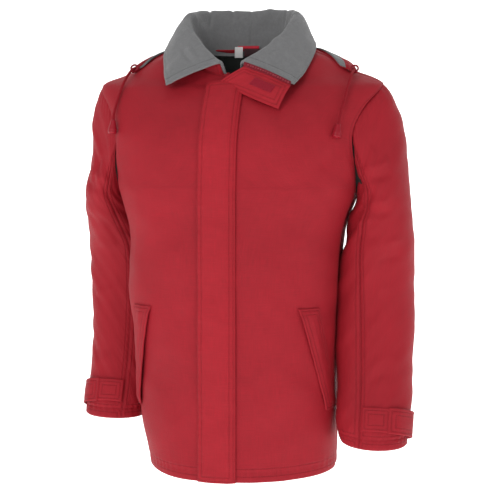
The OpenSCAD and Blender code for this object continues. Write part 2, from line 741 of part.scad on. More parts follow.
front_shell(-1);  // front_shell_right
front_shell(1);  // front_shell_left
back_shell();
wadding_front(-1);  // wadding_front_right
wadding_front(1);  // wadding_front_left
wadding_back();
lining_front(-1);  // lining_front_right
lining_front(1);  // lining_front_left
lining_back();
sleeve(-1);  // sleeve_right
sleeve(1);  // sleeve_left
sleeve_lining(-1);  // sleeve_lining_right
sleeve_lining(1);  // sleeve_lining_left
cuff_hem(-1);  // cuff_hem_right
cuff_hem(1);  // cuff_hem_left
cuff_tab(-1);  // cuff_tab_right
cuff_tab(1);  // cuff_tab_left
cuff_loop_patch(-1);  // cuff_loop_patch_right
cuff_loop_patch(1);  // cuff_loop_patch_left
cuff_hook_patch(-1);  // cuff_hook_patch_right
cuff_hook_patch(1);  // cuff_hook_patch_left
collar_back_shell();
collar_back_fleece();
collar_stand(-1);  // collar_stand_right
collar_stand(1);  // collar_stand_left
wing_shell(-1);  // collar_wing_right_shell
wing_fleece(-1);  // collar_wing_right_fleece
wing_shell(1);  // collar_wing_left_shell
wing_fleece(1);  // collar_wing_left_fleece
collar_flap_end();
collar_flap_patch();
storm_flap();
storm_flap_top();
storm_flap_hook_patches();
front_loop_patches();
zip_tape(-1);  // zip_tape_right
zip_tape(1);  // zip_tape_left
zip_teeth();
zip_box();
zip_slider();
zip_puller();
hood_pouch_shell();
hood_pouch_fleece();
hood_side(-1);  // hood_side_right
hood_side(1);  // hood_side_left
eyelets();
cord(cord_route_right);  // drawcord_right
cord(cord_route_left);  // drawcord_left
cord_end_right();
cord_end_left();
pocket_welt(-1);  // pocket_welt_right
pocket_welt(1);  // pocket_welt_left
pocket_bag(-1);  // pocket_bag_right
pocket_bag(1);  // pocket_bag_left
hanger_loop();
size_label();
maker_label();
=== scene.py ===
"""A foul weather jacket filled out as if worn: padded red shell, grey fleece collar folded open, hood lying
on the back, storm flap over the zip, drawcords, slanted hand pockets and cuff tabs.

Built in the order a sewing room puts it together. Sizes are in millimetres inside the sections and become
metres when a mesh is made. Origin at the nape, +X the wearer's left, -Y the front, +Z up."""
import bpy
import numpy as np
from mathutils import Matrix, Vector


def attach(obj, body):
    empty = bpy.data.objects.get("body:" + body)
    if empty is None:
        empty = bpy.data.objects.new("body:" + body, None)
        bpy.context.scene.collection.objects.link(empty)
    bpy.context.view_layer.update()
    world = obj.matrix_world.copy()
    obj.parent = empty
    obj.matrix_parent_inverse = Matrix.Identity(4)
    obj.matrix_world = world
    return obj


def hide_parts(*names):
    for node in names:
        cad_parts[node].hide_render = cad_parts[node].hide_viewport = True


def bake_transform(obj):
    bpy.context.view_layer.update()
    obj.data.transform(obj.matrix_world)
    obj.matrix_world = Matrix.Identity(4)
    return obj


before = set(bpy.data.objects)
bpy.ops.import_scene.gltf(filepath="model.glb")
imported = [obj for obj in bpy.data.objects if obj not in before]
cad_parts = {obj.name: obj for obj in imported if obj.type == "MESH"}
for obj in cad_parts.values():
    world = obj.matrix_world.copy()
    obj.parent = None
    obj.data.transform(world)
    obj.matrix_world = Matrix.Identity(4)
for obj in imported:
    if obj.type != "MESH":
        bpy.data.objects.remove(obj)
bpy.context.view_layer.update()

# ---------------------------------------------------------------- camera, light and floor
# A studio cyclorama: pale sweep, one large soft light in front, a softer one beside it and one above, white
# surround.
scene = bpy.context.scene
scene.view_settings.view_transform = "Standard"
scene.view_settings.look = "None"
azimuth, pitch, distance = np.radians(10.912), np.radians(4.289), 2.6
look_at = np.array([0.0193, -0.1, -0.3539])
heading = np.array([-np.sin(azimuth) * np.cos(pitch), np.cos(azimuth) * np.cos(pitch), -np.sin(pitch)])
camera_data = bpy.data.cameras.new("camera")
camera_data.lens = 109.1
camera_data.sensor_width = 36
camera_data.clip_end = 60
camera = bpy.data.objects.new("camera", camera_data)
camera.matrix_world = (
    Matrix.Translation(look_at - heading * distance)
        @ Vector(heading).to_track_quat("-Z", "Y").to_matrix().to_4x4()
)
scene.collection.objects.link(camera)
scene.camera = camera

world = bpy.data.worlds.new("studio")
scene.world = world
world.use_nodes = True
world.node_tree.nodes["Background"].inputs["Color"].default_value = (1, 1, 1, 1)
world.node_tree.nodes["Background"].inputs["Strength"].default_value = 0.52


def area_light(name, place, aim, size, watts):
    """A square softbox of side size at place, turned to face aim."""
    data = bpy.data.lights.new(name, "AREA")
    data.size = size
    data.energy = watts
    lamp = bpy.data.objects.new(name, data)
    turn = (Vector(aim) - Vector(place)).to_track_quat("-Z", "Y").to_matrix().to_4x4()
    lamp.matrix_world = Matrix.Translation(place) @ turn
    scene.collection.objects.link(lamp)


area_light("key", (-0.9, -3.0, 1.1), (0.0, -0.1, -0.35), 1.3, 30)
area_light("fill", (2.2, -2.2, 0.2), (0.05, -0.1, -0.4), 1.6, 6)
area_light("top", (0.0, -0.4, 2.2), (0.0, -0.1, 0.0), 1.4, 7)

floor_mesh = bpy.data.meshes.new("floor")
sweep = [(-12, 0), (6.2, 0), (7.2, 0.12), (7.9, 0.6), (8.3, 1.4), (8.5, 2.6), (8.5, 12)]
floor_mesh.from_pydata(
    [(x, y, z - 1.25) for y, z in sweep for x in (-12, 12)],
    [],
    [(2 * i, 2 * i + 1, 2 * i + 3, 2 * i + 2) for i in range(len(sweep) - 1)],
)
floor = bpy.data.objects.new("floor", floor_mesh)
scene.collection.objects.link(floor)
floor_paint = bpy.data.materials.new("floor_paint")
floor_paint.use_nodes = True
paper = floor_paint.node_tree.nodes["Principled BSDF"]
paper.inputs["Base Color"].default_value = (0.95, 0.95, 0.95, 1)
paper.inputs["Roughness"].default_value = 0.9
paper.inputs["Emission Color"].default_value = (1, 1, 1, 1)
paper.inputs["Emission Strength"].default_value = 0.9
floor_mesh.materials.append(floor_paint)
for face in floor_mesh.polygons:
    face.use_smooth = True

# ---------------------------------------------------------------- drawcords
# Braided polyester cord, 4.5 mm, one from each front corner of the hood, led out through an eyelet and
# ended in a moulded bell that closes over the knot. They hang free in front of the shoulders.
cord_diameter = 4.5


def rows_at(table, s):
    """Catmull-Rom curve through the rows of table, at the indices s: each value is a cubic between its rows."""
    table = np.asarray(table, float)
    s = np.asarray(s, float)
    last = len(table) - 1
    i = np.clip(np.floor(s).astype(int), 0, last - 1)
    t = (s - i)[..., None]
    padded = np.vstack([2 * table[0] - table[1], table, 2 * table[-1] - table[-2]])
    p0, p1, p2, p3 = (padded[i + k] for k in range(4))
    return 0.5 * (
        2 * p1 + (p2 - p0) * t + (2 * p0 - 5 * p1 + 4 * p2 - p3) * t**2 + (3 * p1 - p0 - 3 * p2 + p3) * t**3
    )


def unit(v):
    """v divided by its length, along the last axis."""
    return v / np.maximum(np.linalg.norm(v, axis=-1, keepdims=True), 1e-9)


def grid_normals(points, ring=False):
    """The cross product of the steps along the columns and along the rows of a grid of points, of length 1."""
    if ring:
        wide = np.concatenate([points[:, -1:], points, points[:, :1]], 1)
        across = (wide[:, 2:] - wide[:, :-2]) / 2
    else:
        across = np.gradient(points, axis=1)
    return unit(np.cross(across, np.gradient(points, axis=0)))


def make_object(name, vertices, faces, uv=None, values=(), material=None):
    """A mesh object from millimetre vertices, with a UV map in metres and named point values, faces outward."""
    vertices = np.asarray(vertices, float).reshape(-1, 3) / 1000
    faces = np.asarray(faces, int)
    a, b, c = (vertices[faces[:, k]] for k in range(3))
    volume = np.einsum("ij,ij->i", a, np.cross(b, c)).sum()
    if faces.shape[1] == 4:
        d = vertices[faces[:, 3]]
        volume += np.einsum("ij,ij->i", a, np.cross(c, d)).sum()
    if volume < 0:
        faces = faces[:, ::-1]
    mesh = bpy.data.meshes.new(name)
    mesh.from_pydata(vertices, [], faces.tolist())
    mesh.polygons.foreach_set("use_smooth", np.ones(len(faces), bool))
    if uv is not None:
        corner = np.empty(len(mesh.loops), int)
        mesh.loops.foreach_get("vertex_index", corner)
        layer = mesh.uv_layers.new(name="cloth")
        layer.data.foreach_set("uv", (np.asarray(uv, float).reshape(-1, 2)[corner] / 1000).ravel())
    for key, value in values:
        mesh.attributes.new(key, "FLOAT", "POINT").data.foreach_set("value", np.asarray(value, float).ravel())
    if material is not None:
        mesh.materials.append(material)
    item = bpy.data.objects.new(name, mesh)
    scene.collection.objects.link(item)
    return item


def grid_faces(rows, columns, ring, start=0):
    """The quads of a grid of rows by columns points, numbered from start; a ring closes its columns."""
    i, j = np.meshgrid(np.arange(rows - 1), np.arange(columns if ring else columns - 1), indexing="ij")
    k = (j + 1) % columns
    return start + np.stack([i * columns + j, i * columns + k, (i + 1) * columns + k,
        (i + 1) * columns + j], -1).reshape(-1, 4)


def slab(name, middle, out, back, uv, values=(), ring=False, material=None, normal=None):
    """A closed sheet: the grid middle moved out along its normals, and moved back, with its open rims joined."""
    rows, columns = middle.shape[:2]
    normal = grid_normals(middle, ring) if normal is None else normal
    out = np.broadcast_to(out, (rows, columns))[..., None]
    back = np.broadcast_to(back, (rows, columns))[..., None]
    count = rows * columns
    number = np.arange(count).reshape(rows, columns)
    faces = [grid_faces(rows, columns, ring), grid_faces(rows, columns, ring, count)[:, ::-1]]
    rims = [number[0], number[-1][::-1]]
    if ring:
        rims = [np.append(number[0], number[0][0]), np.append(number[-1], number[-1][0])[::-1]]
    else:
        rims += [number[:, -1], number[:, 0][::-1]]
    for rim in rims:
        faces.append(np.stack([rim[1:], rim[:-1], rim[:-1] + count, rim[1:] + count], -1))
    vertices = np.concatenate([(middle + normal * out).reshape(-1, 3),
        (middle - normal * back).reshape(-1, 3)])
    uv = np.concatenate([np.asarray(uv).reshape(-1, 2)] * 2)
    values = [(key, np.concatenate([np.broadcast_to(v, (rows, columns)).ravel()] * 2)) for key, v in values]
    return make_object(name, vertices, np.concatenate(faces), uv, values, material)


def rim_round(gap, radius):
    """How full a sheet is at a distance gap from its rim: a quarter circle of that radius, then 1."""
    g = np.clip(gap / radius, 0, 1)
    return np.sqrt(np.clip(1 - (1 - g) ** 2, 0.0, 1)) * 0.97 + 0.03


def tube(name, route, radius, around, uv_turns=1.0, material=None, cap=True):
    """Circles of the given radii carried along a route, each square to it, closed at both ends by a point."""
    route = np.asarray(route, float)
    forward = unit(np.gradient(route, axis=0))
    side = unit(np.cross(forward, [1.0, 0.13, 0.0]))
    other = np.cross(forward, side)
    turn = 2 * np.pi * np.arange(around) / around
    radius = np.broadcast_to(radius, len(route))[:, None, None]
    ring = side[:, None] * np.cos(turn)[None, :, None] + other[:, None] * np.sin(turn)[None, :, None]
    points = route[:, None] + radius * ring
    if cap:
        points = np.concatenate([np.repeat(route[:1, None], around, 1), points,
            np.repeat(route[-1:, None], around, 1)])
        points[0] = points[0] * 0.999 + points[1] * 0.001
        points[-1] = points[-1] * 0.999 + points[-2] * 0.001
    length = np.concatenate([[0], np.cumsum(np.linalg.norm(np.diff(points.mean(1), axis=0), axis=1))])
    uv = np.stack(np.broadcast_arrays(turn[None] * 4.5 * uv_turns, length[:, None]), -1)
    rows = len(points)
    faces = grid_faces(rows, around, True)
    item = make_object(name, points.reshape(-1, 3), faces, uv, (), material)
    return item


def new_material(name, colour, roughness, sheen=0.0, sheen_tint=(1, 1, 1), coat=0.0, metallic=0.0):
    """A material whose Principled shader has these constants; returns the material, its tree and the shader."""
    material = bpy.data.materials.new(name)
    material.use_nodes = True
    tree = material.node_tree
    shader = tree.nodes["Principled BSDF"]
    shader.inputs["Base Color"].default_value = (*colour, 1)
    shader.inputs["Roughness"].default_value = roughness
    shader.inputs["Metallic"].default_value = metallic
    shader.inputs["Sheen Weight"].default_value = sheen
    shader.inputs["Sheen Tint"].default_value = (*sheen_tint, 1)
    shader.inputs["Sheen Roughness"].default_value = 0.4
    shader.inputs["Coat Weight"].default_value = coat
    shader.inputs["Specular IOR Level"].default_value = 0.22
    return material, tree, shader


def math_node(tree, operation, *values, clamp=False):
    """A Math node; each value is a number or the socket that feeds it. Returns its output."""
    node = tree.nodes.new("ShaderNodeMath")
    node.operation = operation
    node.use_clamp = clamp
    for k, value in enumerate(values):
        if isinstance(value, (int, float)):
            node.inputs[k].default_value = value
        else:
            tree.links.new(value, node.inputs[k])
    return node.outputs[0]


def group(name, inputs, outputs):
    """An empty shader node group with these float or vector inputs and these outputs."""
    tree = bpy.data.node_groups.new(name, "ShaderNodeTree")
    for key, kind, value in inputs:
        socket = tree.interface.new_socket(key, in_out="INPUT", socket_type="NodeSocket" + kind)
        if value is not None:
            socket.default_value = value
    for key, kind in outputs:
        tree.interface.new_socket(key, in_out="OUTPUT", socket_type="NodeSocket" + kind)
    return tree, tree.nodes.new("NodeGroupInput"), tree.nodes.new("NodeGroupOutput")


def place_group(tree, made, **inputs):
    """A group in a material's tree; each input is a number or a socket. Returns the node."""
    node = tree.nodes.new("ShaderNodeGroup")
    node.node_tree = made
    for key, value in inputs.items():
        socket = node.inputs[key.replace("_", " ")]
        if isinstance(value, (int, float)):
            socket.default_value = value
        else:
            tree.links.new(value, socket)
    return node


def bump(tree, shader, height, strength, reach):
    """A Bump node on height, in metres of reach, that feeds the shader's normal."""
    node = tree.nodes.new("ShaderNodeBump")
    node.inputs["Strength"].default_value = strength
    node.inputs["Distance"].default_value = reach
    tree.links.new(height, node.inputs["Height"])
    tree.links.new(node.outputs[0], shader.inputs["Normal"])


def colour_mix(tree, shader, factor, dark, light):
    """The shader's colour from dark at factor 0 to light at factor 1."""
    node = tree.nodes.new("ShaderNodeMix")
    node.data_type = "RGBA"
    tree.links.new(factor, node.inputs["Factor"])
    node.inputs["A"].default_value = (*dark, 1)
    node.inputs["B"].default_value = (*light, 1)
    tree.links.new(node.outputs["Result"], shader.inputs["Base Color"])
    return node


def noise(tree, vector, scale, detail=3.0, roughness=0.55):
    """A Noise texture on vector; returns its value."""
    node = tree.nodes.new("ShaderNodeTexNoise")
    node.inputs["Scale"].default_value = scale
    node.inputs["Detail"].default_value = detail
    node.inputs["Roughness"].default_value = roughness
    tree.links.new(vector, node.inputs["Vector"])
    return node.outputs["Fac"]


# Braid: two sets of strands wound opposite ways. Height is the larger of two slanted sine ridges.
braid, braid_in, braid_out = group("braid", [("Vector", "Vector", None), ("Pitch", "Float", 0.003)],
    [("Height", "Float")])
parts = braid.nodes.new("ShaderNodeSeparateXYZ")
braid.links.new(braid_in.outputs["Vector"], parts.inputs[0])
steps = [math_node(braid, "DIVIDE", parts.outputs[k], braid_in.outputs["Pitch"]) for k in range(2)]
strands = [
    math_node(braid, "SINE", math_node(braid, "MULTIPLY", math_node(braid, kind, steps[1], steps[0]),
        2 * np.pi))
    for kind in ("ADD", "SUBTRACT")
]
braid.links.new(math_node(braid, "MAXIMUM", *strands), braid_out.inputs["Height"])

cord_material, tree, shader = new_material("drawcord_braid", (0.2, 0.012, 0.025), 0.8)
place = tree.nodes.new("ShaderNodeUVMap")
place.uv_map = "cloth"
ridges = place_group(tree, braid, Vector=place.outputs[0], Pitch=0.0024).outputs[0]
# Painted shade: the colour darkens from the strands' crowns into the grooves between them; the strands are all one
# red.
colour_mix(tree, shader, math_node(tree, "MULTIPLY_ADD", ridges, 0.5, 0.5, clamp=True),
    (0.14, 0.002, 0.006), (0.34, 0.006, 0.016))
bump(tree, shader, ridges, 0.8, 0.0004)

end_material, tree, shader = new_material("cord_end_moulding", (0.17, 0.01, 0.02), 0.45, coat=0.06)
place = tree.nodes.new("ShaderNodeTexCoord")
scuff = noise(tree, place.outputs["Object"], 900, 4)
colour_mix(tree, shader, scuff, (0.2, 0.003, 0.01), (0.33, 0.006, 0.018))
tree.links.new(math_node(tree, "MULTIPLY_ADD", scuff, 0.3, 0.25), shader.inputs["Roughness"])

cord_routes = {
    "right": [
        [-184, -98, -42], [-185, -110, -45], [-188, -127, -55], [-193, -142, -72], [-198, -155, -96],
        [-202, -164, -118], [-203, -167, -132],
    ],
    "left": [
        [198, -97, -46], [198, -110, -49], [196, -128, -58], [193, -146, -76], [189, -162, -100],
        [184, -176, -124], [182, -182, -140],
    ],
}
bell_profile = [
    (0.0, 0.2), (0.0, 3.4), (1.0, 4.1), (4.0, 4.5), (8.0, 5.4), (12.0, 6.3), (15.5, 7.2), (17.0, 7.5),
        (18.0, 7.1),
    (18.8, 7.1), (19.8, 7.5), (21.5, 7.4), (22.8, 6.6), (23.4, 5.2), (23.5, 2.9), (21.8, 2.5), (21.8, 0.2),
]
for side, route in cord_routes.items():
    line = rows_at(route, np.linspace(0, 6, 40))
    item = tube("drawcord_" + side + "_braid", line, cord_diameter / 2, 16, material=cord_material)
    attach(item, "drawcord_" + side)
    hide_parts("drawcord_" + side)
    way = unit(line[-1] - line[-4])
    profile = np.array(bell_profile)
    profile = np.concatenate([np.linspace(a, b, 4)[:-1] for a, b in zip(profile[:-1], profile[1:])]
        + [profile[-1:]])
    bell = tube(
        "cord_end_" + side + "_bell",
        line[-1] + way * (profile[:, :1] + np.linspace(0, 0.001, len(profile))[:, None]),
        profile[:, 1], 40, material=end_material, cap=False,
    )
    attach(bell, "drawcord_" + side)
    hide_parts("cord_end_" + side)

# ---------------------------------------------------------------- cloth of the shell
# Plain-woven polyester with a waterproof back, red. Threads about 0.5 mm apart, so the surface is matt with a
# faint grain of thicker threads; seams are stitched twice with thread of the same colour.
# Weave: height is the product of a sine across each thread set, which rises and dips like over and under.
weave, weave_in, weave_out = group(
    "weave", [("Vector", "Vector", None), ("Pitch", "Float", 0.001)], [("Height", "Float"), ("Slub", "Float")]
)
parts = weave.nodes.new("ShaderNodeSeparateXYZ")
weave.links.new(weave_in.outputs["Vector"], parts.inputs[0])
waves = [
    math_node(weave, "SINE", math_node(weave, "MULTIPLY",
        math_node(weave, "DIVIDE", parts.outputs[k], weave_in.outputs["Pitch"]), 2 * np.pi))
    for k in range(2)
]
weave.links.new(math_node(weave, "MULTIPLY", *waves), weave_out.inputs["Height"])
slubs = []
for stretch in ((1.0, 0.06, 1.0), (0.06, 1.0, 1.0)):
    turn = weave.nodes.new("ShaderNodeMapping")
    turn.inputs["Scale"].default_value = stretch
    weave.links.new(weave_in.outputs["Vector"], turn.inputs["Vector"])
    slubs.append(noise(weave, turn.outputs[0], 620, 2, 0.6))
weave.links.new(math_node(weave, "MULTIPLY_ADD", math_node(weave, "ADD", *slubs), 1.0, -1.0),
    weave_out.inputs["Slub"])

# Topstitch: two rows at given distances from the edge. Each pulls the cloth down in a groove with the thread on it
# in dashes of 3.4 mm; the cloth between two stitches puffs up a little.
stitch, stitch_in, stitch_out = group(
    "topstitch",
    [("Edge", "Float", 100.0), ("Along", "Float", 0.0), ("First", "Float", 1.6), ("Second", "Float", 8.0)],
    [("Height", "Float"), ("Thread", "Float"), ("Shade", "Float")],
)
dash = math_node(stitch, "SINE", math_node(stitch, "MULTIPLY", stitch_in.outputs["Along"], 2 * np.pi / 3.4))
grooves, threads = [], []
for row in ("First", "Second"):
    off = math_node(stitch, "SUBTRACT", stitch_in.outputs["Edge"], stitch_in.outputs[row])
    square = math_node(stitch, "MULTIPLY", off, off)
    grooves.append(math_node(stitch, "EXPONENT", math_node(stitch, "MULTIPLY", square, -1.1)))
    line = math_node(stitch, "EXPONENT", math_node(stitch, "MULTIPLY", square, -9.0))
    threads.append(math_node(stitch, "MULTIPLY", line,
        math_node(stitch, "MULTIPLY_ADD", dash, 1.2, 0.7, clamp=True)))
# Painted shade: groove, given out as Shade, darkens the cloth's colour along each stitch row.
groove = math_node(stitch, "ADD", *grooves)
# Painted highlight: thread, given out as Thread, also lightens the colour of the thread, which is the cloth's own
# red.
thread = math_node(stitch, "ADD", *threads)
stitch.links.new(thread, stitch_out.inputs["Thread"])
stitch.links.new(groove, stitch_out.inputs["Shade"])
stitch.links.new(
    math_node(stitch, "SUBTRACT", math_node(stitch, "MULTIPLY", thread, 0.5), groove),
        stitch_out.inputs["Height"]
)


def shell_cloth(name, dark, light, rows=(1.6, 8.0), roughness=0.66):
    """Red shell cloth: weave and slubs on the piece's own UV map, topstitching on its edge values."""
    material, tree, shader = new_material(name, light, roughness, sheen=0.04, sheen_tint=(1.0, 0.4, 0.4))
    place = tree.nodes.new("ShaderNodeUVMap")
    place.uv_map = "cloth"
    cloth = place_group(tree, weave, Vector=place.outputs[0], Pitch=0.0011)
    edge, along = (tree.nodes.new("ShaderNodeAttribute") for _ in range(2))
    edge.attribute_name, along.attribute_name = "edge", "along"
    sewn = place_group(tree, stitch, Edge=edge.outputs["Fac"], Along=along.outputs["Fac"], First=rows[0],
        Second=rows[1])
    place_object = tree.nodes.new("ShaderNodeTexCoord")
    cloud = noise(tree, place_object.outputs["Object"], 7, 4)
    tone = math_node(tree, "MULTIPLY_ADD", cloth.outputs["Slub"], 0.55, 0.5)
    tone = math_node(tree, "ADD", tone, math_node(tree, "MULTIPLY_ADD", cloud, 0.5, -0.25))
    # Painted shade: the colour darkens along the stitch grooves.
    tone = math_node(tree, "SUBTRACT", tone, math_node(tree, "MULTIPLY", sewn.outputs["Shade"], 0.36))
    # Painted highlight: the thread dashes are made lighter than the cloth, though they are the same red.
    tone = math_node(tree, "ADD", tone, math_node(tree, "MULTIPLY", sewn.outputs["Thread"], 0.35), clamp=True)
    colour_mix(tree, shader, tone, dark, light)
    tree.links.new(
        math_node(tree, "MULTIPLY_ADD", cloth.outputs["Slub"], 0.2, roughness, clamp=True),
            shader.inputs["Roughness"]
    )
    height = math_node(tree, "MULTIPLY_ADD", cloth.outputs["Height"], 0.11,
        math_node(tree, "MULTIPLY", cloth.outputs["Slub"], 0.35))
    height = math_node(tree, "MULTIPLY_ADD", sewn.outputs["Height"], 0.9, height)
    bump(tree, shader, height, 1.0, 0.0006)
    return material


shell_red = shell_cloth("shell_cloth", (0.2, 0.0035, 0.009), (0.42, 0.0125, 0.0245))
# Painted light: the storm flap and its turned-out end get the shell cloth made about 7 % lighter, where the front
# is most brightly lit.
flap_red_painted_light = shell_cloth("storm_flap_cloth", (0.225, 0.004, 0.0095), (0.45, 0.0135, 0.026))

lining_dark, tree, shader = new_material("lining_cloth", (0.012, 0.014, 0.012), 0.55, sheen=0.1)
place = tree.nodes.new("ShaderNodeUVMap")
place.uv_map = "cloth"
cloth = place_group(tree, weave, Vector=place.outputs[0], Pitch=0.0008)
colour_mix(tree, shader, math_node(tree, "MULTIPLY_ADD", cloth.outputs["Slub"], 0.5, 0.5, clamp=True),
    (0.006, 0.008, 0.007), (0.02, 0.023, 0.02))
bump(tree, shader, cloth.outputs["Height"], 0.4, 0.0002)


# ---------------------------------------------------------------- front and back panels
# Two fronts and a back of shell cloth over 4 mm of wadding, joined at the shoulders and sides, open down the
# middle for the zip. The hem is turned up 17 mm and stitched.
hem_w, waist_w, chest_w, shoulder_w = 165, 172, 204, 244
front_y, back_y = -232, 32
body_rows = [
    [-714, hem_w, front_y, back_y - 12, 2.3, -16],
    [-590, hem_w + 0.6 * (waist_w - hem_w), front_y, back_y - 16, 2.3, -8],
    [-430, waist_w, front_y, back_y - 20, 2.3, 0],
    [-315, waist_w + 0.25 * (chest_w - waist_w), front_y, back_y - 8, 2.35, 0],
    [-245, chest_w, front_y + 1, back_y, 2.4, 0],
    [-165, chest_w + 16, front_y + 12, back_y + 2, 2.4, -2],
    [-108, shoulder_w - 5, front_y + 40, back_y - 6, 2.35, -6],
    [-66, shoulder_w, front_y + 66, back_y - 20, 2.2, -16],
    [-42, 186, front_y + 76, back_y - 27, 2.1, -30],
    [-20, 132, front_y + 81, back_y - 31, 2.05, -42],
    [-6, 88, front_y + 84, back_y - 32, 2.0, -46],
]
zip_gap = 13


def lean(points):
    """The filled-out body's stance: the wearer's right side is fuller at the waist and drawn in at the hem, and the
    wadding lifts both shoulders' crests. Each change is a bell curve about its place."""
    x, z = points[..., 0], points[..., 2]
    side = np.clip(-x / 150, 0, 1) ** 2
    full = 15 * np.exp(-(((z + 400) / 120) ** 2)) - 14 * np.exp(-(((z + 740) / 70) ** 2))
    moved = points.copy()
    moved[..., 0] = x - side * full + 5 * np.exp(-(((z + 700) / 110) ** 2)) * np.clip(x / 150, 0, 1) ** 2
    crest = np.exp(-(((np.abs(x) - 132) / 56) ** 2)) * np.exp(-(((points[..., 1] + 62) / 66) ** 2))
    moved[..., 2] = z + 15 * crest * np.clip((z + 100) / 60, 0, 1)
    return moved


def body_surface(s, angle, depth=0.0):
    """Rings from the hem (s 0) to the neck (s 10). A ring is a superellipse: x = w cos^e, y = b sin^e about its
    middle, with e near 0.87; the front of the ring is moved in z by the row's last value."""
    r = rows_at(body_rows, s)
    half, middle, deep, power = r[..., 1] - depth, (r[..., 2] + r[..., 3]) / 2, (r[..., 3]
        - r[..., 2]) / 2 - depth, 2 / r[..., 4]
    c, q = np.cos(angle), np.sin(angle)
    x = np.sign(c) * half * np.abs(c) ** power
    y = middle + np.sign(q) * deep * np.abs(q) ** power
    z = r[..., 0] + r[..., 5] * ((1 - q) / 2) ** 2 - 0.3 * np.clip(s - 6, 0, None) * depth
    return lean(np.stack([x, y, z], -1))


def armhole_angle(s):
    """Half the armhole's opening at ring s: 27 degrees times sin^0.7 between rings 4 and 7, else none."""
    inside = np.clip((s - 4) / 3, 0, 1)
    return np.radians(27) * np.sin(np.pi * inside) ** 0.7 * ((s > 4) & (s < 7))


def zip_angle(s):
    """The angle at which a front panel ends, half the zip's gap from the middle."""
    r = rows_at(body_rows, s)
    return np.arccos((zip_gap / 2 / r[..., 1]) ** (r[..., 4] / 2))


def spread(count, length, fine=(0.0, 0.5, 1.2, 2.2, 3.6, 5.4, 8.0)):
    """Numbers from 0 to 1: fine steps, in millimetres of length, at both ends and even ones between."""
    ends = np.array(fine) / length
    return np.concatenate([ends, np.linspace(ends[-1], 1 - ends[-1], count)[1:-1], 1 - ends[::-1]])


def lengths(points, axis):
    """Running length along one axis of a grid."""
    step = np.linalg.norm(np.diff(points, axis=axis), axis=-1)
    first = np.zeros_like(np.take(step, [0], axis))
    return np.concatenate([first, np.cumsum(step, axis)], axis)


def swell(u, v, seed, size, waves=10):
    """Soft uneven swell: the mean of sine waves of random direction and phase, each about size mm long."""
    random = np.random.default_rng(seed)
    direction, long, phase = random.uniform(0, np.pi, waves), size * random.uniform(0.7, 1.6,
        waves), random.uniform(0, 6.28, waves)
    k = 2 * np.pi / long
    total = sum(np.sin(k[i] * (u * np.cos(direction[i]) + v * np.sin(direction[i]))
        + phase[i]) for i in range(waves))
    return total / np.sqrt(waves)


def creases(u, v, strokes):
    """Sum of ridges. Each runs from (u0, v0) to (u1, v1), bowed sideways, a bell curve across its width, fading out
    towards its ends; a negative height is a furrow."""
    total = np.zeros(np.broadcast(u, v).shape)
    for u0, v0, u1, v1, width, height, bow in strokes:
        du, dv = u1 - u0, v1 - v0
        long = np.hypot(du, dv)
        t = ((u - u0) * du + (v - v0) * dv) / long**2
        off = ((v - v0) * du - (u - u0) * dv) / long - bow * 4 * t * (1 - t)
        total = total + height * np.exp(-((off / width) ** 2)) * np.exp(-(((t - 0.5) / 0.46) ** 6))
    return total


def outward(normal, base, centre):
    """The normals of a surface, turned over if on average they point towards centre."""
    return -normal if np.mean(np.sum(normal * (base - centre), -1)) < 0 else normal


def edge_gap(across, up):
    """Each grid point's distance from the nearest of the four edges, from the lengths run along both ways."""
    return np.minimum(np.minimum(across, across[:, -1:] - across), np.minimum(up, up[-1:] - up))


hem_stitch = 17
lining_depth = 10.5


def panel_rows(low=0.0, high=10.0, count=200):
    """Ring numbers spaced evenly along the body's side, with fine steps at the hem and the neck."""
    fine = np.linspace(low, high, 1500)
    line = body_surface(fine, np.full_like(fine, -np.pi / 3))
    run = lengths(line, 0)
    return np.interp(spread(count, run[-1]) * run[-1], run, fine)


def panel(name, angles_at, folds, columns, seed, thickness=4.6):
    """A body panel between two boundary angles, with swells, folds and puckered seams."""
    s = panel_rows()
    t = spread(columns, 300)
    start, stop = angles_at(s)
    s2 = np.repeat(s[:, None], len(t), 1)
    angle = start[:, None] + (stop - start)[:, None] * t[None]
    base = body_surface(s2, angle)
    across, up = lengths(base, 1), lengths(base, 0)
    gap_first, gap_last = across, across[:, -1:] - across
    hem_gap, neck_gap = up, up[-1:] - up
    edge = np.minimum(np.minimum(gap_first, gap_last), neck_gap)
    along = np.where(neck_gap <= np.minimum(gap_first, gap_last), across, up)
    stitched = np.minimum(edge, np.abs(hem_gap - hem_stitch) + 1.6)
    along = np.where(np.abs(hem_gap - hem_stitch) + 1.6 < edge, across, along)
    pucker = np.exp(-edge / 9) * 0.55 * np.sin(2 * np.pi * along / 13 + swell(across, up, seed + 3, 60))
    pucker += np.exp(-np.abs(hem_gap - hem_stitch) / 7) * 0.5 * np.sin(2 * np.pi * across / 12
        + swell(across, up, seed + 4, 60))
    rise = 1.5 * swell(base[..., 0], base[..., 2], seed, 170) + 0.45 * swell(base[..., 0], base[..., 2],
        seed + 1, 48)
    rise += 5.0 * np.clip((base[..., 0] - 120) / 60, 0, 1) * np.exp(-(((base[..., 2] + 370) / 150) ** 2))
    rise += creases(base[..., 0], base[..., 2], folds) + pucker - 1.0 * np.exp(-((hem_gap - hem_stitch) / 3.0) ** 2)
    rise = rise * np.clip(edge / 24, 0.25, 1) - 1.4 * np.exp(-edge / 5)
    normal = grid_normals(base)
    normal = outward(normal, base, base.mean((0, 1)))
    full = rim_round(np.minimum(edge, hem_gap), 3.5)
    middle = base + normal * (rise[..., None] - thickness / 2)
    item = slab(
        name, middle, full * thickness / 2, full * thickness / 2, np.stack([across, up], -1),
        [("edge", stitched), ("along", along)], material=shell_red, normal=normal,
    )
    return item


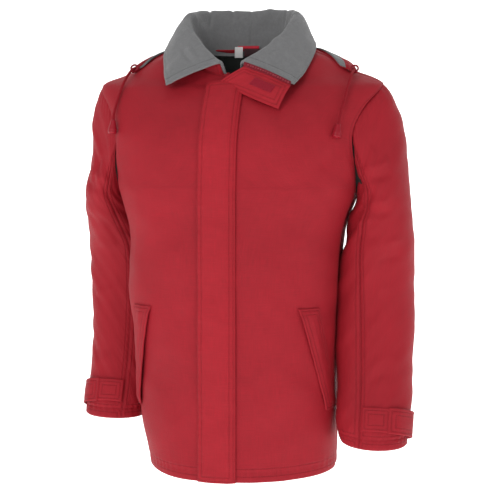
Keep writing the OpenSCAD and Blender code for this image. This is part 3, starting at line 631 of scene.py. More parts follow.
front_folds = {
    "left": [
        (205, -120, 150, -215, 13, -3.0, 10), (215, -165, 165, -250, 12, 2.6, 8),
            (160, -300, 190, -420, 16, -2.5, 0),
        (60, -120, 110, -230, 22, 1.6, 6), (120, -560, 60, -640, 26, 1.6, -6),
            (170, -250, 120, -360, 22, 1.8, 8),
        (60, -330, 80, -520, 30, 1.2, 4), (150, -640, 40, -690, 18, 1.3, 6),
    ],
    "right": [
        (-222, -175, -196, -232, 9, -3.2, -4), (-205, -150, -170, -260, 14, 2.4, -8),
            (-170, -270, -120, -330, 20, 2.0, 6),
        (-60, -120, -110, -230, 22, 1.5, -6), (-190, -300, -175, -420, 18, -2.2, 0),
            (-60, -300, -66, -560, 18, 1.6, 0),
        (-150, -560, -70, -650, 22, 1.5, 6), (-120, -420, -80, -540, 26, 1.0, 4),
    ],
}
for side, sign in (("right", -1), ("left", 1)):
    def side_angles(s, sign=sign):
        start, stop = -armhole_angle(s), -zip_angle(s)
        return (start, stop) if sign > 0 else (-np.pi - start, -np.pi - stop)

    item = panel("front_" + side, side_angles, front_folds[side], 96, 10 + sign)
    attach(item, "jacket_body")
    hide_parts("front_shell_" + side, "wadding_front_" + side)

back_folds = [
    (-150, -130, -60, -260, 24, 1.8, 8), (150, -130, 60, -260, 24, 1.8, -8),
        (-120, -300, -140, -560, 30, 1.8, 6),
    (110, -320, 130, -580, 30, 1.8, -6), (-20, -420, 10, -680, 34, 1.6, 6),
        (60, -260, -40, -330, 24, -1.5, 6),
]
item = panel(
    "back_panel", lambda s: (armhole_angle(s), np.pi - armhole_angle(s)), back_folds, 170, 30
)
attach(item, "jacket_body")
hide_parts("back_shell", "wadding_back")

# The body's lining: smooth dark polyester, two fronts and a back, hanging 10 mm inside the shell.
s = panel_rows(0.05, 9.97, 70)
for name, start, stop2 in (
    ("lining_right", lambda s: -np.pi + armhole_angle(s), lambda s: -np.pi + zip_angle(s)),
    ("lining_left", lambda s: -armhole_angle(s), lambda s: -zip_angle(s)),
    ("lining_back", lambda s: armhole_angle(s), lambda s: np.pi - armhole_angle(s)),
):
    t = np.linspace(0, 1, 70)
    a, b = start(s)[:, None], stop2(s)[:, None]
    base = body_surface(np.repeat(s[:, None], len(t), 1), a + (b - a) * t[None], lining_depth)
    normal = grid_normals(base)
    normal = outward(normal, base, base.mean((0, 1)))
    across, up = lengths(base, 1), lengths(base, 0)
    base = base + normal * (0.5 * swell(across, up, 51, 60) - 0.4)[..., None]
    item = slab(name, base, 0.5, 0.5, np.stack([across, up], -1), material=lining_dark, normal=normal)
    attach(item, "jacket_body")
    node = {"lining_right": "lining_front_right", "lining_left": "lining_front_left"}.get(name, "lining_back")
    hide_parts(node)


# ---------------------------------------------------------------- sleeves
# Each sleeve is one tube of shell over wadding, set into the armhole with a seam stitched twice on the body's
# side, closed by a seam down its front and turned up 18 mm at the cuff. The lining hangs loose inside.
biceps_r, elbow_r, cuff_r = 61, 58, 52
inner_x = chest_w
sleeve_tables = {
    "left": [
        [inner_x + 46, -92, -262, 46, biceps_r + 1],
        [waist_w + 70, -88, -332, biceps_r - 3, biceps_r],
        [waist_w + 71, -94, -440, elbow_r, elbow_r],
        [waist_w + 74, -118, -560, (elbow_r + cuff_r) / 2, (elbow_r + cuff_r) / 2],
        [waist_w + 72, -151, -682, cuff_r, cuff_r],
    ],
    "right": [
        [inner_x + 38, -78, -262, 38, biceps_r + 1],
        [waist_w + 57, -26, -332, biceps_r - 3, biceps_r],
        [waist_w + 53, -20, -430, elbow_r, elbow_r],
        [waist_w + 52, -42, -545, (elbow_r + cuff_r) / 2, (elbow_r + cuff_r) / 2],
        [waist_w + 56, -80, -660, cuff_r, cuff_r],
    ],
}
cap_bulge = {"left": 22, "right": 12}


def sleeve_tube(side, s, a, depth=0.0):
    """A point of the tube: its centre, plus half width cos a outwards and half depth sin a forwards, both square
    to the centre line."""
    table = sleeve_tables[side]
    r = rows_at(table, s)
    way = unit(rows_at(table, np.minimum(4, s + 0.05))[..., :3]
        - rows_at(table, np.maximum(0, s - 0.05))[..., :3])
    way = np.where((s < 0.3)[..., None], np.array([0.0, 0, -1]), way)
    front = np.array([0.0, -1, 0])
    ahead = unit(front - way * (way @ front)[..., None])
    out = np.cross(ahead, way)
    wide = ((r[..., 3] - depth) * np.cos(a))[..., None]
    return r[..., :3] + wide * out + ((r[..., 4] - depth) * np.sin(a))[..., None] * ahead


def sleeve_surface(side, t, a, depth=0.0):
    """Rows t from the armhole (-1) over the cap to the tube (0 to 4). The cap is a straight blend of the two
    outlines, with a bulge that is largest on the outside; then rows are averaged with their neighbours."""
    k = np.clip(t + 1, 0, 1)
    ring = 5.5 + 1.5 * np.cos(a)
    turn = armhole_angle(ring) * np.where(a < np.pi, -1, 1)
    if side == "right":
        rim = body_surface(ring, np.pi - turn, depth) * np.array([-1.0, 1, 1])
    else:
        rim = body_surface(ring, turn, depth)
    start = sleeve_tube(side, np.zeros_like(t), a, depth)
    bulge = np.sin(np.pi * k**0.75) * np.maximum(0, 0.35 + 0.65 * np.cos(a)) * cap_bulge[side]
    cap = rim + (start - rim) * k[..., None] + bulge[..., None] * np.array([0.95, 0, 0.3])
    points = np.where((t > 0)[..., None], sleeve_tube(side, np.maximum(t, 0), a, depth), cap)
    middle = rows_at(sleeve_tables[side], np.maximum(t, 0))[..., :3]
    points[..., 2] += (0.34 * (points[..., 1] - middle[..., 1]) + 12) * np.clip((t - 3.2) / 0.8, 0, 1) ** 1.5
    for _ in range(70):
        points[1:-1] = 0.25 * points[:-2] + 0.5 * points[1:-1] + 0.25 * points[2:]
    if side == "right":
        points = points * np.array([-1.0, 1, 1])
    return points


def even_rows(count):
    """Row values spaced evenly along the sleeve's outside, fine at the armhole and at the cuff."""
    fine = np.linspace(-1, 4, 900)
    cap = 175 * (np.clip(fine, -1, 0) + 1)
    tube_run = np.interp(fine, [0, 1, 2, 3, 4], np.cumsum([0, 72, 105, 122, 125]))
    run = np.where(fine < 0, cap, 175 + tube_run)
    return np.interp(spread(count, run[-1]) * run[-1], run, fine)


sleeve_folds = {
    "left": [
        (198, -205, 226, -250, 7, -4.2, -4), (236, -176, 212, -228, 8, 3.4, 6),
            (226, -212, 262, -196, 8, 3.2, -4),
        (222, -228, 268, -218, 7, -3.2, -4), (212, -262, 262, -262, 8, 3.4, -7),
            (214, -276, 268, -282, 7, -3.0, -8),
        (190, -292, 236, -296, 9, 2.6, -8), (200, -312, 250, -322, 9, -2.4, -8),
            (232, -352, 282, -330, 8, 1.8, 4),
        (236, -372, 284, -358, 7, -1.6, 4), (238, -420, 270, -410, 8, 1.2, 3),
            (230, -548, 276, -522, 9, 1.6, 4),
        (232, -566, 272, -548, 7, -1.5, 4), (224, -470, 250, -476, 10, 1.2, 4),
            (226, -622, 262, -604, 9, 1.2, 0),
    ],
    "right": [
        (-238, -190, -252, -246, 8, -3.6, 0), (-214, -232, -262, -214, 9, 3.2, 4),
            (-212, -252, -268, -240, 8, -3.0, 4),
        (-214, -296, -268, -272, 9, 3.4, 7), (-212, -316, -264, -296, 8, -3.0, 7),
            (-222, -350, -280, -346, 10, 2.0, -4),
        (-222, -420, -270, -436, 10, 1.4, 4), (-226, -540, -270, -560, 10, 1.4, 3),
            (-230, -600, -268, -596, 9, -1.2, 3),
    ],
}
seam_angle = {"left": np.radians(118), "right": np.radians(116)}
for side, sign in (("right", -1), ("left", 1)):
    a = seam_angle[side] + 2 * np.pi * np.arange(216) / 216
    t = even_rows(230)
    t2, a2 = np.meshgrid(t, a, indexing="ij")
    a2 = np.mod(a2, 2 * np.pi)
    base = sleeve_surface(side, t2, a2)
    tuck = base[:1] + unit(base[:1] - base[4:5]) * 7.0
    base = np.concatenate([tuck, base])
    t2, a2 = (np.concatenate([grid[:1], grid]) for grid in (t2, a2))
    around = lengths(np.concatenate([base, base[:, :1]], 1), 1)
    whole_way = around[:, -1:]
    around = around[:, :-1]
    down = lengths(base, 0)
    to_cuff = down[-1:] - down
    seam_gap = np.minimum(around, whole_way - around)
    normal = grid_normals(base, True)
    normal = outward(normal, base, base.mean(1, keepdims=True))
    ahead = np.clip(-normal[..., 1:2] * 2 + 0.4, 0, 1)[..., 0]
    rise = creases(base[..., 0], base[..., 2], sleeve_folds[side]) * ahead
    rise += 1.3 * swell(around, down, 61 + sign, 120) + 0.6 * swell(around * 0.5, down, 63 + sign, 36)
    behind = np.clip(normal[..., 1] * 2, 0, 1)
    rise += behind * 2.2 * np.sin(down / 14 + 1.5 * np.sin(around / 40)) * np.exp(-(((down - 200) / 70) ** 2))
    armpit = np.clip(-sign * normal[..., 0], 0, 1)
    rise += armpit * 2.0 * np.sin(down / 11 + 2) * np.exp(-(((down - 120) / 60) ** 2))
    rise += (19.0 if side == "left" else 3.0) * armpit**2 * np.clip((down - 110) / 70, 0, 1)
    outside = np.clip(sign * normal[..., 0], 0, 1)
    if side == "left":
        rise -= outside * 8.0 * np.exp(-(((base[..., 2] + 180) / 85) ** 2))
    else:
        rise -= outside * 13.0 * np.exp(-(((base[..., 2] + 190) / 55) ** 2))
    rise *= 1 - 0.6 * np.exp(-seam_gap / 10)
    rise *= 1 - 0.7 * np.exp(-to_cuff / 22)
    rise -= 1.2 * np.exp(-seam_gap / 2.2)
    pucker = 0.6 * np.sin(2 * np.pi * down / 12 + swell(down, around, 7, 50)) * np.exp(-seam_gap / 8)
    pucker += 0.9 * np.sin(2 * np.pi * around / 15 + swell(around, down, 8, 70)) * np.exp(-down / 12)
    pucker += 0.6 * np.sin(2 * np.pi * around / 12
        + swell(around, down, 9, 60)) * np.exp(-np.abs(to_cuff - hem_stitch) / 7)
    rise += pucker - 1.1 * np.exp(-(((to_cuff - hem_stitch) / 3.0) ** 2)) - 4.0 * np.exp(-down / 5.0)
    thickness = 5.0
    full = rim_round(np.minimum(down + 1.5, to_cuff), 3.2)
    stitched = np.minimum(seam_gap + 1.0, np.abs(to_cuff - hem_stitch) + 1.6)
    along = np.where(seam_gap + 1.0 < np.abs(to_cuff - hem_stitch) + 1.6, down, around)
    item = slab(
        "sleeve_" + side + "_cloth", base + normal * (rise[..., None] - thickness / 2), full * thickness / 2,
        full * thickness / 2, np.stack([around, down], -1), [("edge", stitched), ("along", along)],
        ring=True, material=shell_red, normal=normal,
    )
    away = np.array([0.8 * sign, 0, -0.6])
    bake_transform(item)
    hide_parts("sleeve_" + side, "cuff_hem_" + side)

    t = even_rows(60)[1:-2]
    a = 2 * np.pi * np.arange(90) / 90
    t2, a2 = np.meshgrid(t, a, indexing="ij")
    base = sleeve_surface(side, t2, a2, 12.0)
    around, down = lengths(base, 1), lengths(base, 0)
    normal = grid_normals(base, True)
    normal = outward(normal, base, base.mean(1, keepdims=True))
    base = base + normal * (0.8 * swell(around, down, 71, 50) - 0.8)[..., None]
    item = slab("sleeve_lining_" + side + "_cloth", base, 0.5, 0.5, np.stack([around, down], -1), ring=True,
                material=lining_dark, normal=normal)
    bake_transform(item)
    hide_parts("sleeve_lining_" + side)

# ---------------------------------------------------------------- cuff tabs
# A doubled strap 36 mm wide is caught in the sleeve's front seam and wraps outwards; hook tape under its free
# end grips a loop patch on the sleeve, which sets how tight the cuff sits.
patch_cloth, tree, shader = new_material("hook_and_loop_tape", (0.21, 0.006, 0.015), 0.95, sheen=0.25,
    sheen_tint=(1, 0.5, 0.5))
place = tree.nodes.new("ShaderNodeTexCoord")
pile = noise(tree, place.outputs["Object"], 1300, 5, 0.7)
colour_mix(tree, shader, pile, (0.11, 0.002, 0.008), (0.36, 0.012, 0.03))
bump(tree, shader, pile, 1.0, 0.0009)

tab_rows = (3.47, 3.81)
for side, sign in (("right", -1), ("left", 1)):
    mirror = np.array([sign, 1.0, 1])
    t = spread(46, 110)
    u = spread(16, 36)
    t2, u2 = np.meshgrid(u, t, indexing="ij")
    first, last = np.radians(66), np.radians(-50)
    a2 = first + (last - first) * u2
    rounded = 0.07 * (1 - np.sqrt(np.clip(1 - np.clip((u2 - 0.9) / 0.1, 0, 1) ** 2, 0, 1))) * (t2 - 0.5)
    s2 = tab_rows[0] + (tab_rows[1] - tab_rows[0]) * t2 - rounded
    base = sleeve_tube(side, s2, a2) * mirror
    across, along_tab = lengths(base, 1), lengths(base, 0)
    gap = edge_gap(across, along_tab)
    normal = grid_normals(base)
    centre = rows_at(sleeve_tables[side], 3.6)[:3] * mirror
    normal = outward(normal, base, centre)
    lift = 1.0 + 3.0 * np.clip(across / 18, 0, 1) ** 1.5 + 1.2 * np.clip((u2 - 0.8) / 0.2, 0, 1) ** 2
    rise = lift + 0.5 * swell(across, along_tab, 81 + sign, 30) - 0.5 * np.exp(-(((gap - 5) / 1.6) ** 2))
    thickness = 2.8
    full = rim_round(gap, 1.8)
    item = slab(
        "cuff_tab_" + side + "_strap", base + normal * (rise + thickness / 2)[..., None],
            full * thickness / 2,
        full * thickness / 2, np.stack([across, along_tab], -1),
            [("edge", gap - 3.2), ("along", across + along_tab)],
        material=shell_red, normal=normal,
    )
    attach(item, "cuff_tab_" + side)
    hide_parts("cuff_tab_" + side)
    u2, t2 = np.meshgrid(spread(40, 50), spread(16, 36), indexing="xy")
    a2 = np.radians(113) + np.radians(62 - 113) * u2
    base = sleeve_tube(side, tab_rows[0] + 0.01 + (tab_rows[1] - tab_rows[0] - 0.02) * t2, a2) * mirror
    across, up = lengths(base, 1), lengths(base, 0)
    gap = edge_gap(across, up)
    normal = grid_normals(base)
    normal = outward(normal, base, centre)
    full = rim_round(gap, 1.8)
    item = slab("cuff_tab_" + side + "_root", base + normal * 1.6, full * 1.3, full * 1.3,
        np.stack([across, up], -1),
                [("edge", gap - 3.2), ("along", across + up)], material=shell_red, normal=normal)
    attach(item, "sleeve_" + side)
    for name, angles, lift_at, body in (
        ("cuff_loop_patch_", (-44, 16), 0.6, "sleeve_"), ("cuff_hook_patch_", (-46, -12), 2.6, "cuff_tab_"),
    ):
        u2, t2 = np.meshgrid(spread(20, 50), spread(12, 28), indexing="xy")
        a2 = np.radians(angles[0] + (angles[1] - angles[0]) * u2)
        base = sleeve_tube(side, tab_rows[0] + 0.04 + (tab_rows[1] - tab_rows[0] - 0.08) * t2, a2) * mirror
        across, up = lengths(base, 1), lengths(base, 0)
        gap = edge_gap(across, up)
        normal = grid_normals(base)
        normal = outward(normal, base, centre)
        full = rim_round(gap, 0.8) * 0.6
        item = slab(name + side + "_tape", base + normal * lift_at, full, full, np.stack([across, up], -1),
                    material=patch_cloth, normal=normal)
        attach(item, body + side)
        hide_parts(name + side)

# ---------------------------------------------------------------- hand pockets
# A slanted opening in each front, covered by a padded welt 30 mm wide. The welt is stitched down along its
# outer edge and across both ends; the hand goes in behind its inner edge. The bag hangs inside the lining.
pocket_rows = (0.85, 1.92)
pocket_angles = {"top": (31.0, 49.0), "bottom": (6.0, 24.0)}
for side, sign in (("right", -1), ("left", 1)):
    u2, t2 = np.meshgrid(spread(24, 31), spread(90, 172), indexing="xy")
    low_a = pocket_angles["bottom"][0] + (pocket_angles["bottom"][1] - pocket_angles["bottom"][0]) * u2
    top_a = pocket_angles["top"][0] + (pocket_angles["top"][1] - pocket_angles["top"][0]) * u2
    a2 = -np.radians(low_a + (top_a - low_a) * t2)
    if sign < 0:
        a2 = -np.pi - a2
    base = body_surface(pocket_rows[0] + (pocket_rows[1] - pocket_rows[0]) * t2, a2)
    across, up = lengths(base, 1), lengths(base, 0)
    to_inner = across[:, -1:] - across
    ends = np.minimum(up, up[-1:] - up)
    gap = np.minimum(np.minimum(across, to_inner), ends)
    normal = grid_normals(base)
    normal = outward(normal, base, np.array([0, -100, -560.0]))
    held = np.clip(ends / 16, 0, 1) ** 0.7 * np.clip(across / 22, 0, 1)
    rise = 1.2 + 3.4 * held + 0.35 * swell(across, up, 91 + sign,
        26) - 0.8 * np.exp(-(((gap - 4.0) / 1.5) ** 2))
    thickness = 4.0
    full = rim_round(gap, 2.4)
    item = slab(
        "pocket_welt_" + side + "_cloth", base + normal * rise[..., None], full * thickness / 2,
            full * thickness / 2,
        np.stack([across, up], -1), [("edge", gap - 2.4),
            ("along", np.where(ends < np.minimum(across, to_inner), across, up))],
        material=shell_red, normal=normal,
    )
    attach(item, "jacket_body")
    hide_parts("pocket_welt_" + side)

    u2, t2 = np.meshgrid(np.linspace(0, 1, 40), np.linspace(0, 1, 50), indexing="xy")
    low_a, top_a = 8 + 50 * u2, 31 + 39 * u2
    a2 = -np.radians(low_a + (top_a - low_a) * t2)
    if sign < 0:
        a2 = -np.pi - a2
    base = body_surface(0.75 + 1.2 * t2, a2, 11.0)
    across, up = lengths(base, 1), lengths(base, 0)
    normal = grid_normals(base)
    item = slab("pocket_bag_" + side + "_cloth", base, 0.5, 0.5, np.stack([across, up], -1),
        material=lining_dark)
    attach(item, "jacket_body")
    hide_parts("pocket_bag_" + side)

# ---------------------------------------------------------------- zip
# A two-row moulded zip, tooth pitch 5 mm, runs from 24 mm above the hem to the neck on woven tapes sewn behind
# the front edges. It is closed below the slider and parts above it.
hem_front = -730


def front_point(x, z, proud=0.0):
    """The point of the front at x and height z: the ring and angle there are found by halving intervals."""
    x, z = np.broadcast_arrays(np.asarray(x, float), np.asarray(z, float))
    low_s, high_s = np.zeros_like(x), np.full_like(x, 10.0)
    for _ in range(22):
        s = (low_s + high_s) / 2
        r = rows_at(body_rows, s)
        a = -np.arccos(np.minimum(1, np.abs(x) / r[..., 1]) ** (r[..., 4] / 2))
        p = body_surface(s, a)
        below = p[..., 2] < z
        low_s, high_s = np.where(below, s, low_s), np.where(below, high_s, s)
    q = body_surface(s, a, -1.0)
    return np.stack([x, p[..., 1] + (q[..., 1] - p[..., 1]) * proud,
        p[..., 2] + (q[..., 2] - p[..., 2]) * proud], -1)


slider_z = -262


def parted(z):
    """Half the gap between the two rows of teeth: it grows smoothly to 1.7 mm above the slider."""
    t = np.clip((np.asarray(z, float) - slider_z + 4) / 30, 0, 1)
    return 1.7 * t * t * (3 - 2 * t)


tape_cloth, tree, shader = new_material("zip_tape", (0.25, 0.01, 0.02), 0.8, sheen=0.1)
place = tree.nodes.new("ShaderNodeUVMap")
place.uv_map = "cloth"
cloth = place_group(tree, weave, Vector=place.outputs[0], Pitch=0.0016)
# Painted shade: the tape's colour darkens in the dips of the weave.
colour_mix(tree, shader, math_node(tree, "MULTIPLY_ADD", cloth.outputs["Height"], 0.5, 0.5, clamp=True),
    (0.12, 0.004, 0.01), (0.3, 0.014, 0.03))
bump(tree, shader, cloth.outputs["Height"], 0.8, 0.0004)

teeth_plastic, tree, shader = new_material("zip_teeth_moulding", (0.2, 0.012, 0.025), 0.38, coat=0.25)
place = tree.nodes.new("ShaderNodeTexCoord")
colour_mix(tree, shader, noise(tree, place.outputs["Object"], 700, 4), (0.15, 0.006, 0.014),
    (0.29, 0.02, 0.035))

zip_top = float(front_point(0, -58)[2])
for side, sign in (("right", -1), ("left", 1)):
    z = np.linspace(hem_front + 14, zip_top, 160)
    x = np.linspace(0, 1, 14)
    z2, x2 = np.meshgrid(z, x, indexing="ij")
    base = front_point(parted(z2) + 1.5 + (6.4 - parted(z2) - 1.5) * x2, z2, -3.0) * np.array([sign, 1.0, 1])
    across, up = lengths(base, 1), lengths(base, 0)
    item = slab("zip_tape_" + side + "_woven", base, 0.5, 0.5, np.stack([across, up], -1),
        material=tape_cloth)
    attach(item, "jacket_body")
    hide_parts("zip_tape_" + side)


def rounded_blocks(name, centres, sizes, material, power=0.35, steps=(8, 10)):
    """Many small rounded blocks as one mesh: points of a sphere with each cosine and sine raised to a low power."""
    b, a = np.meshgrid(np.linspace(-np.pi / 2, np.pi / 2, steps[0]),
        2 * np.pi * np.arange(steps[1]) / steps[1], indexing="ij")

    def low(v):
        return np.sign(v) * np.abs(v) ** power

    shape = np.stack([low(np.cos(b)) * low(np.cos(a)), low(np.cos(b)) * low(np.sin(a)), low(np.sin(b))], -1)
    centres, sizes = np.asarray(centres, float), np.broadcast_to(np.asarray(sizes, float), (len(centres), 3))
    points = centres[:, None, None] + shape[None] * sizes[:, None, None] / 2
    count = shape.shape[0] * shape.shape[1]
    faces = np.concatenate([grid_faces(*steps, True, k * count) for k in range(len(centres))])
    return make_object(name, points, faces, None, (), material)


z = np.arange(hem_front + 26, zip_top - 6, 5.0)
odd = np.where(np.arange(len(z)) % 2 == 0, 1, -1)
x = odd * (parted(z) + 1.3)
middle = front_point(np.zeros_like(z), z, -3.2)
item = rounded_blocks(
    "zip_teeth_moulded", np.stack([x, middle[:, 1], middle[:, 2]], -1), [3.6, 2.4, 3.6], teeth_plastic
)
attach(item, "jacket_body")
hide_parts("zip_teeth")

metal, tree, shader = new_material("nickel_plate", (0.55, 0.55, 0.54), 0.3, metallic=1.0)
place = tree.nodes.new("ShaderNodeTexCoord")
scratch = noise(tree, place.outputs["Object"], 260, 6)
colour_mix(tree, shader, scratch, (0.42, 0.41, 0.4), (0.66, 0.66, 0.65))
tree.links.new(math_node(tree, "MULTIPLY_ADD", scratch, 0.3, 0.16), shader.inputs["Roughness"])
red_metal = new_material("eyelet_red_enamel", (0.2, 0.006, 0.015), 0.4)[0]
bpy.data.objects["eyelets"].data.materials.clear()
bpy.data.objects["eyelets"].data.materials.append(red_metal)
for node in ("zip_box", "zip_slider", "zip_puller"):
    bpy.data.objects[node].data.materials.clear()
    bpy.data.objects[node].data.materials.append(metal)

# ---------------------------------------------------------------- storm flap
# A padded strip 64 mm wide, sewn along the wearer's left of the zip and stitched twice along its free edge,
# lies over the zip. Five hook-and-loop patches hold it; only its lower part swings open.
sewn_x, flap_w, flap_top, flap_bottom = 21, 64, -73, -733
x_run = spread(44, flap_w)
z_run = spread(250, flap_top - flap_bottom)
v2, u2 = np.meshgrid(z_run, x_run, indexing="ij")
x2 = sewn_x - flap_w * u2
z2 = flap_bottom + (flap_top - flap_bottom) * v2
corner = np.clip((u2 * flap_w - (flap_w - 10)) / 10, 0, 1)
z2 = z2 - 7 * (1 - np.sqrt(np.clip(1 - corner**2, 0, 1))) * np.clip((v2 - 0.97) / 0.03, 0, 1)
z2 = z2 - 3 * u2 * np.clip((0.12 - v2) / 0.12, 0, 1)
base = front_point(x2, z2)
off = u2 * flap_w
rise = 0.4 + 6.2 * np.clip(off / 15, 0, 1) ** 0.8 * (1 - 0.62 * np.clip((off - 34) / 30, 0, 1) ** 1.3)
up = lengths(base, 0)
to_top = up[-1:] - up
gap = np.minimum(np.minimum(off, flap_w - off), np.minimum(up, to_top))
rise = rise + 0.9 * swell(off * 0.6, up, 101, 90) * np.clip(off / 30, 0, 1) + 0.35 * swell(off, up, 102, 30)
rise = rise - 0.9 * np.exp(-(((flap_w - off - 7) / 1.6) ** 2)) - 0.7 * np.exp(-(((flap_w - off - 1.8)
    / 1.4) ** 2))
rise = rise + 0.5 * np.sin(2 * np.pi * up / 12
    + swell(up, off, 103, 50)) * np.exp(-np.abs(flap_w - off - 5) / 5)
rise = rise + 0.45 * np.sin(2 * np.pi * up / 11 + swell(up, off, 104, 50)) * np.exp(-off / 6)
rise = rise - 0.8 * np.exp(-((off - 3.0) ** 2) / 1.6)
thickness = 4.2
full = rim_round(gap, 2.4)
tilt = grid_normals(base)
if tilt[..., 1].mean() > 0:
    tilt = -tilt
middle = base + tilt * (rise + thickness / 2)[..., None]
stitched = np.minimum(flap_w - off, np.abs(off - 3.0) + 1.6)
stitched = np.minimum(stitched, np.minimum(up, to_top) - 4.0 + 1.6)
item = slab(
    "storm_flap_cloth", middle, full * thickness / 2, full * thickness / 2, np.stack([off, up], -1),
    [("edge", stitched), ("along", np.where(np.minimum(off, flap_w - off) < np.minimum(up, to_top), up,
        off))],
    material=flap_red_painted_light, normal=tilt,
)
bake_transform(item)
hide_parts("storm_flap", "storm_flap_top")

for name, body, proud in (("storm_flap_hook_patches", "storm_flap", 3.6),
    ("front_loop_patches", "jacket_body", 0.9)):
    vertices, faces, uv, start = [], [], [], 0
    for i in range(5):
        z0 = hem_front + 60 + (-300 - hem_front - 60) * i / 4
        u2, v2 = np.meshgrid(spread(12, 22, (0, 0.4, 1)), spread(14, 28, (0, 0.4, 1)), indexing="xy")
        base = front_point(-37 + 22 * u2, z0 + 28 * v2, proud)
        gap = np.minimum(np.minimum(u2, 1 - u2) * 22, np.minimum(v2, 1 - v2) * 28)
        thick = rim_round(gap, 0.8)[..., None] * 0.55 * np.array([0, 1.0, 0])
        rows, columns = gap.shape
        count = rows * columns
        number = np.arange(count).reshape(rows, columns)
        vertices += [(base + thick).reshape(-1, 3), (base - thick).reshape(-1, 3)]
        faces += [grid_faces(rows, columns, False, start),
            grid_faces(rows, columns, False, start + count)[:, ::-1]]
        for rim in (number[0], number[-1][::-1], number[:, -1], number[:, 0][::-1]):
            faces.append(start + np.stack([rim[1:], rim[:-1], rim[:-1] + count, rim[1:] + count], -1))
        start += 2 * count
    item = make_object(name + "_tape", np.concatenate(vertices), np.concatenate(faces), None, (), patch_cloth)
    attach(item, body)
    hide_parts(name)

# ---------------------------------------------------------------- collar
# A high collar of shell cloth lined with thick fleece, folded open over its roll so that the fleece shows. Its
# front ends turn out as two wings; a seam joins its halves at the nape.
fleece, tree, shader = new_material("fleece_pile", (0.19, 0.19, 0.192), 1.0, sheen=0.35)
place = tree.nodes.new("ShaderNodeTexCoord")
pile = noise(tree, place.outputs["Object"], 760, 6, 0.72)
clump = noise(tree, place.outputs["Object"], 160, 3, 0.6)
both = math_node(tree, "ADD", math_node(tree, "MULTIPLY", pile, 0.75),
    math_node(tree, "MULTIPLY", clump, 0.35))
edge, along = (tree.nodes.new("ShaderNodeAttribute") for _ in range(2))
edge.attribute_name, along.attribute_name = "edge", "along"
sewn = place_group(tree, stitch, Edge=edge.outputs["Fac"], Along=along.outputs["Fac"], First=0.0, Second=90.0)
# Painted shade: the fleece's colour darkens in the groove along the collar's front seam.
tone = math_node(tree, "SUBTRACT", both, math_node(tree, "MULTIPLY", sewn.outputs["Shade"], 0.3), clamp=True)
colour_mix(tree, shader, tone, (0.075, 0.075, 0.077), (0.24, 0.24, 0.243))
bump(tree, shader, math_node(tree, "SUBTRACT", both,
    math_node(tree, "MULTIPLY", sewn.outputs["Shade"], 0.4)), 1.0, 0.0016)

collar_base = [[12, -147, -56], [58, -126, -46], [84, -74, -20], [60, -17, -12], [0, -1.5, -12]]
collar_roll = [[17, -163, -38], [62, -126, -8], [92, -70, 40], [62, -4, 56], [0, 14, 58]]
collar_edge = [[108, -178, -76], [121, -134, -50], [127, -78, -8], [84, 16, 18], [0, 34, 22]]


def mirrored_row(table, s):
    """Catmull-Rom through a half table whose last row lies on the middle plane, so it arrives there square."""
    whole_table = np.array(table + [[-p[0], p[1], p[2]] for p in table[-2::-1]], float)
    return rows_at(whole_table, s)


def collar_middle(s, h):
    """Station s from the front end (0) to the nape (4); h from the neck seam (0) over the roll (0.45) to the edge
    (1). Two straight blends, rounded at the roll by averaging and with the fall bowed upwards by a sine."""
    b, r, e = mirrored_row(collar_base, s), mirrored_row(collar_roll, s), mirrored_row(collar_edge, s)
    r = r + np.array([0, 0, 6.0]) * (1 - np.abs(s / 2 - 1))[..., None]
    q, w = np.clip(h / 0.45, -1, 1)[..., None], np.clip((h - 0.45) / 0.55, 0, 1)[..., None]
    bow = 10.0 * (0.25 + 0.75 * np.clip(s / 1.2, 0, 1))[..., None] * np.array([0, 0, 1.0])
    return np.where(w > 0, r + (e - r) * w + bow * np.sin(np.pi * w), b + (r - b) * q)


s = 4 * spread(150, 300)
h = spread(96, 150)
h2, s2 = np.meshgrid(h, s, indexing="ij")
points = collar_middle(s2, h2 - 0.08 * (1 - h2) ** 3 * np.clip((s2 - 2.4) / 0.8, 0, 1))
for _ in range(26):
    points[1:-1] = 0.25 * points[:-2] + 0.5 * points[1:-1] + 0.25 * points[2:]
half = points
whole_grid = np.concatenate([half, (half * np.array([-1.0, 1, 1]))[:, -2::-1]], 1)
normal = grid_normals(whole_grid)
if normal[48, 150, 2] < 0:
    normal = -normal
normal_half = normal[:, : half.shape[1]]
collar_grids = {}
roll_folds = {
    "left": [
        (2.85, 0.30, 2.95, 0.62, 0.05, -2.6, 0.02), (2.2, 0.25, 2.1, 0.55, 0.07, 1.8, 0.0),
            (3.55, 0.3, 3.5, 0.6, 0.09, 1.2, 0.0),
        (1.2, 0.35, 0.9, 0.75, 0.09, 1.6, 0.0), (0.5, 0.5, 1.6, 0.86, 0.05, -1.3, 0.02),
            (3.1, 0.6, 3.0, 0.95, 0.1, 1.2, 0.0),
    ],
    "right": [
        (2.75, 0.28, 2.9, 0.62, 0.05, -2.8, -0.02), (3.5, 0.34, 3.52, 0.6, 0.045, -2.0, 0.0),
            (2.3, 0.3, 2.0, 0.6, 0.07, 1.8, 0.0),
        (0.35, 0.66, 1.1, 0.70, 0.028, -2.2, 0.015), (0.45, 0.60, 1.0, 0.62, 0.03, 1.6, 0.01),
            (1.6, 0.5, 1.3, 0.9, 0.12, 1.4, 0.0),
        (3.1, 0.6, 3.0, 0.95, 0.1, 1.2, 0.0),
    ],
}
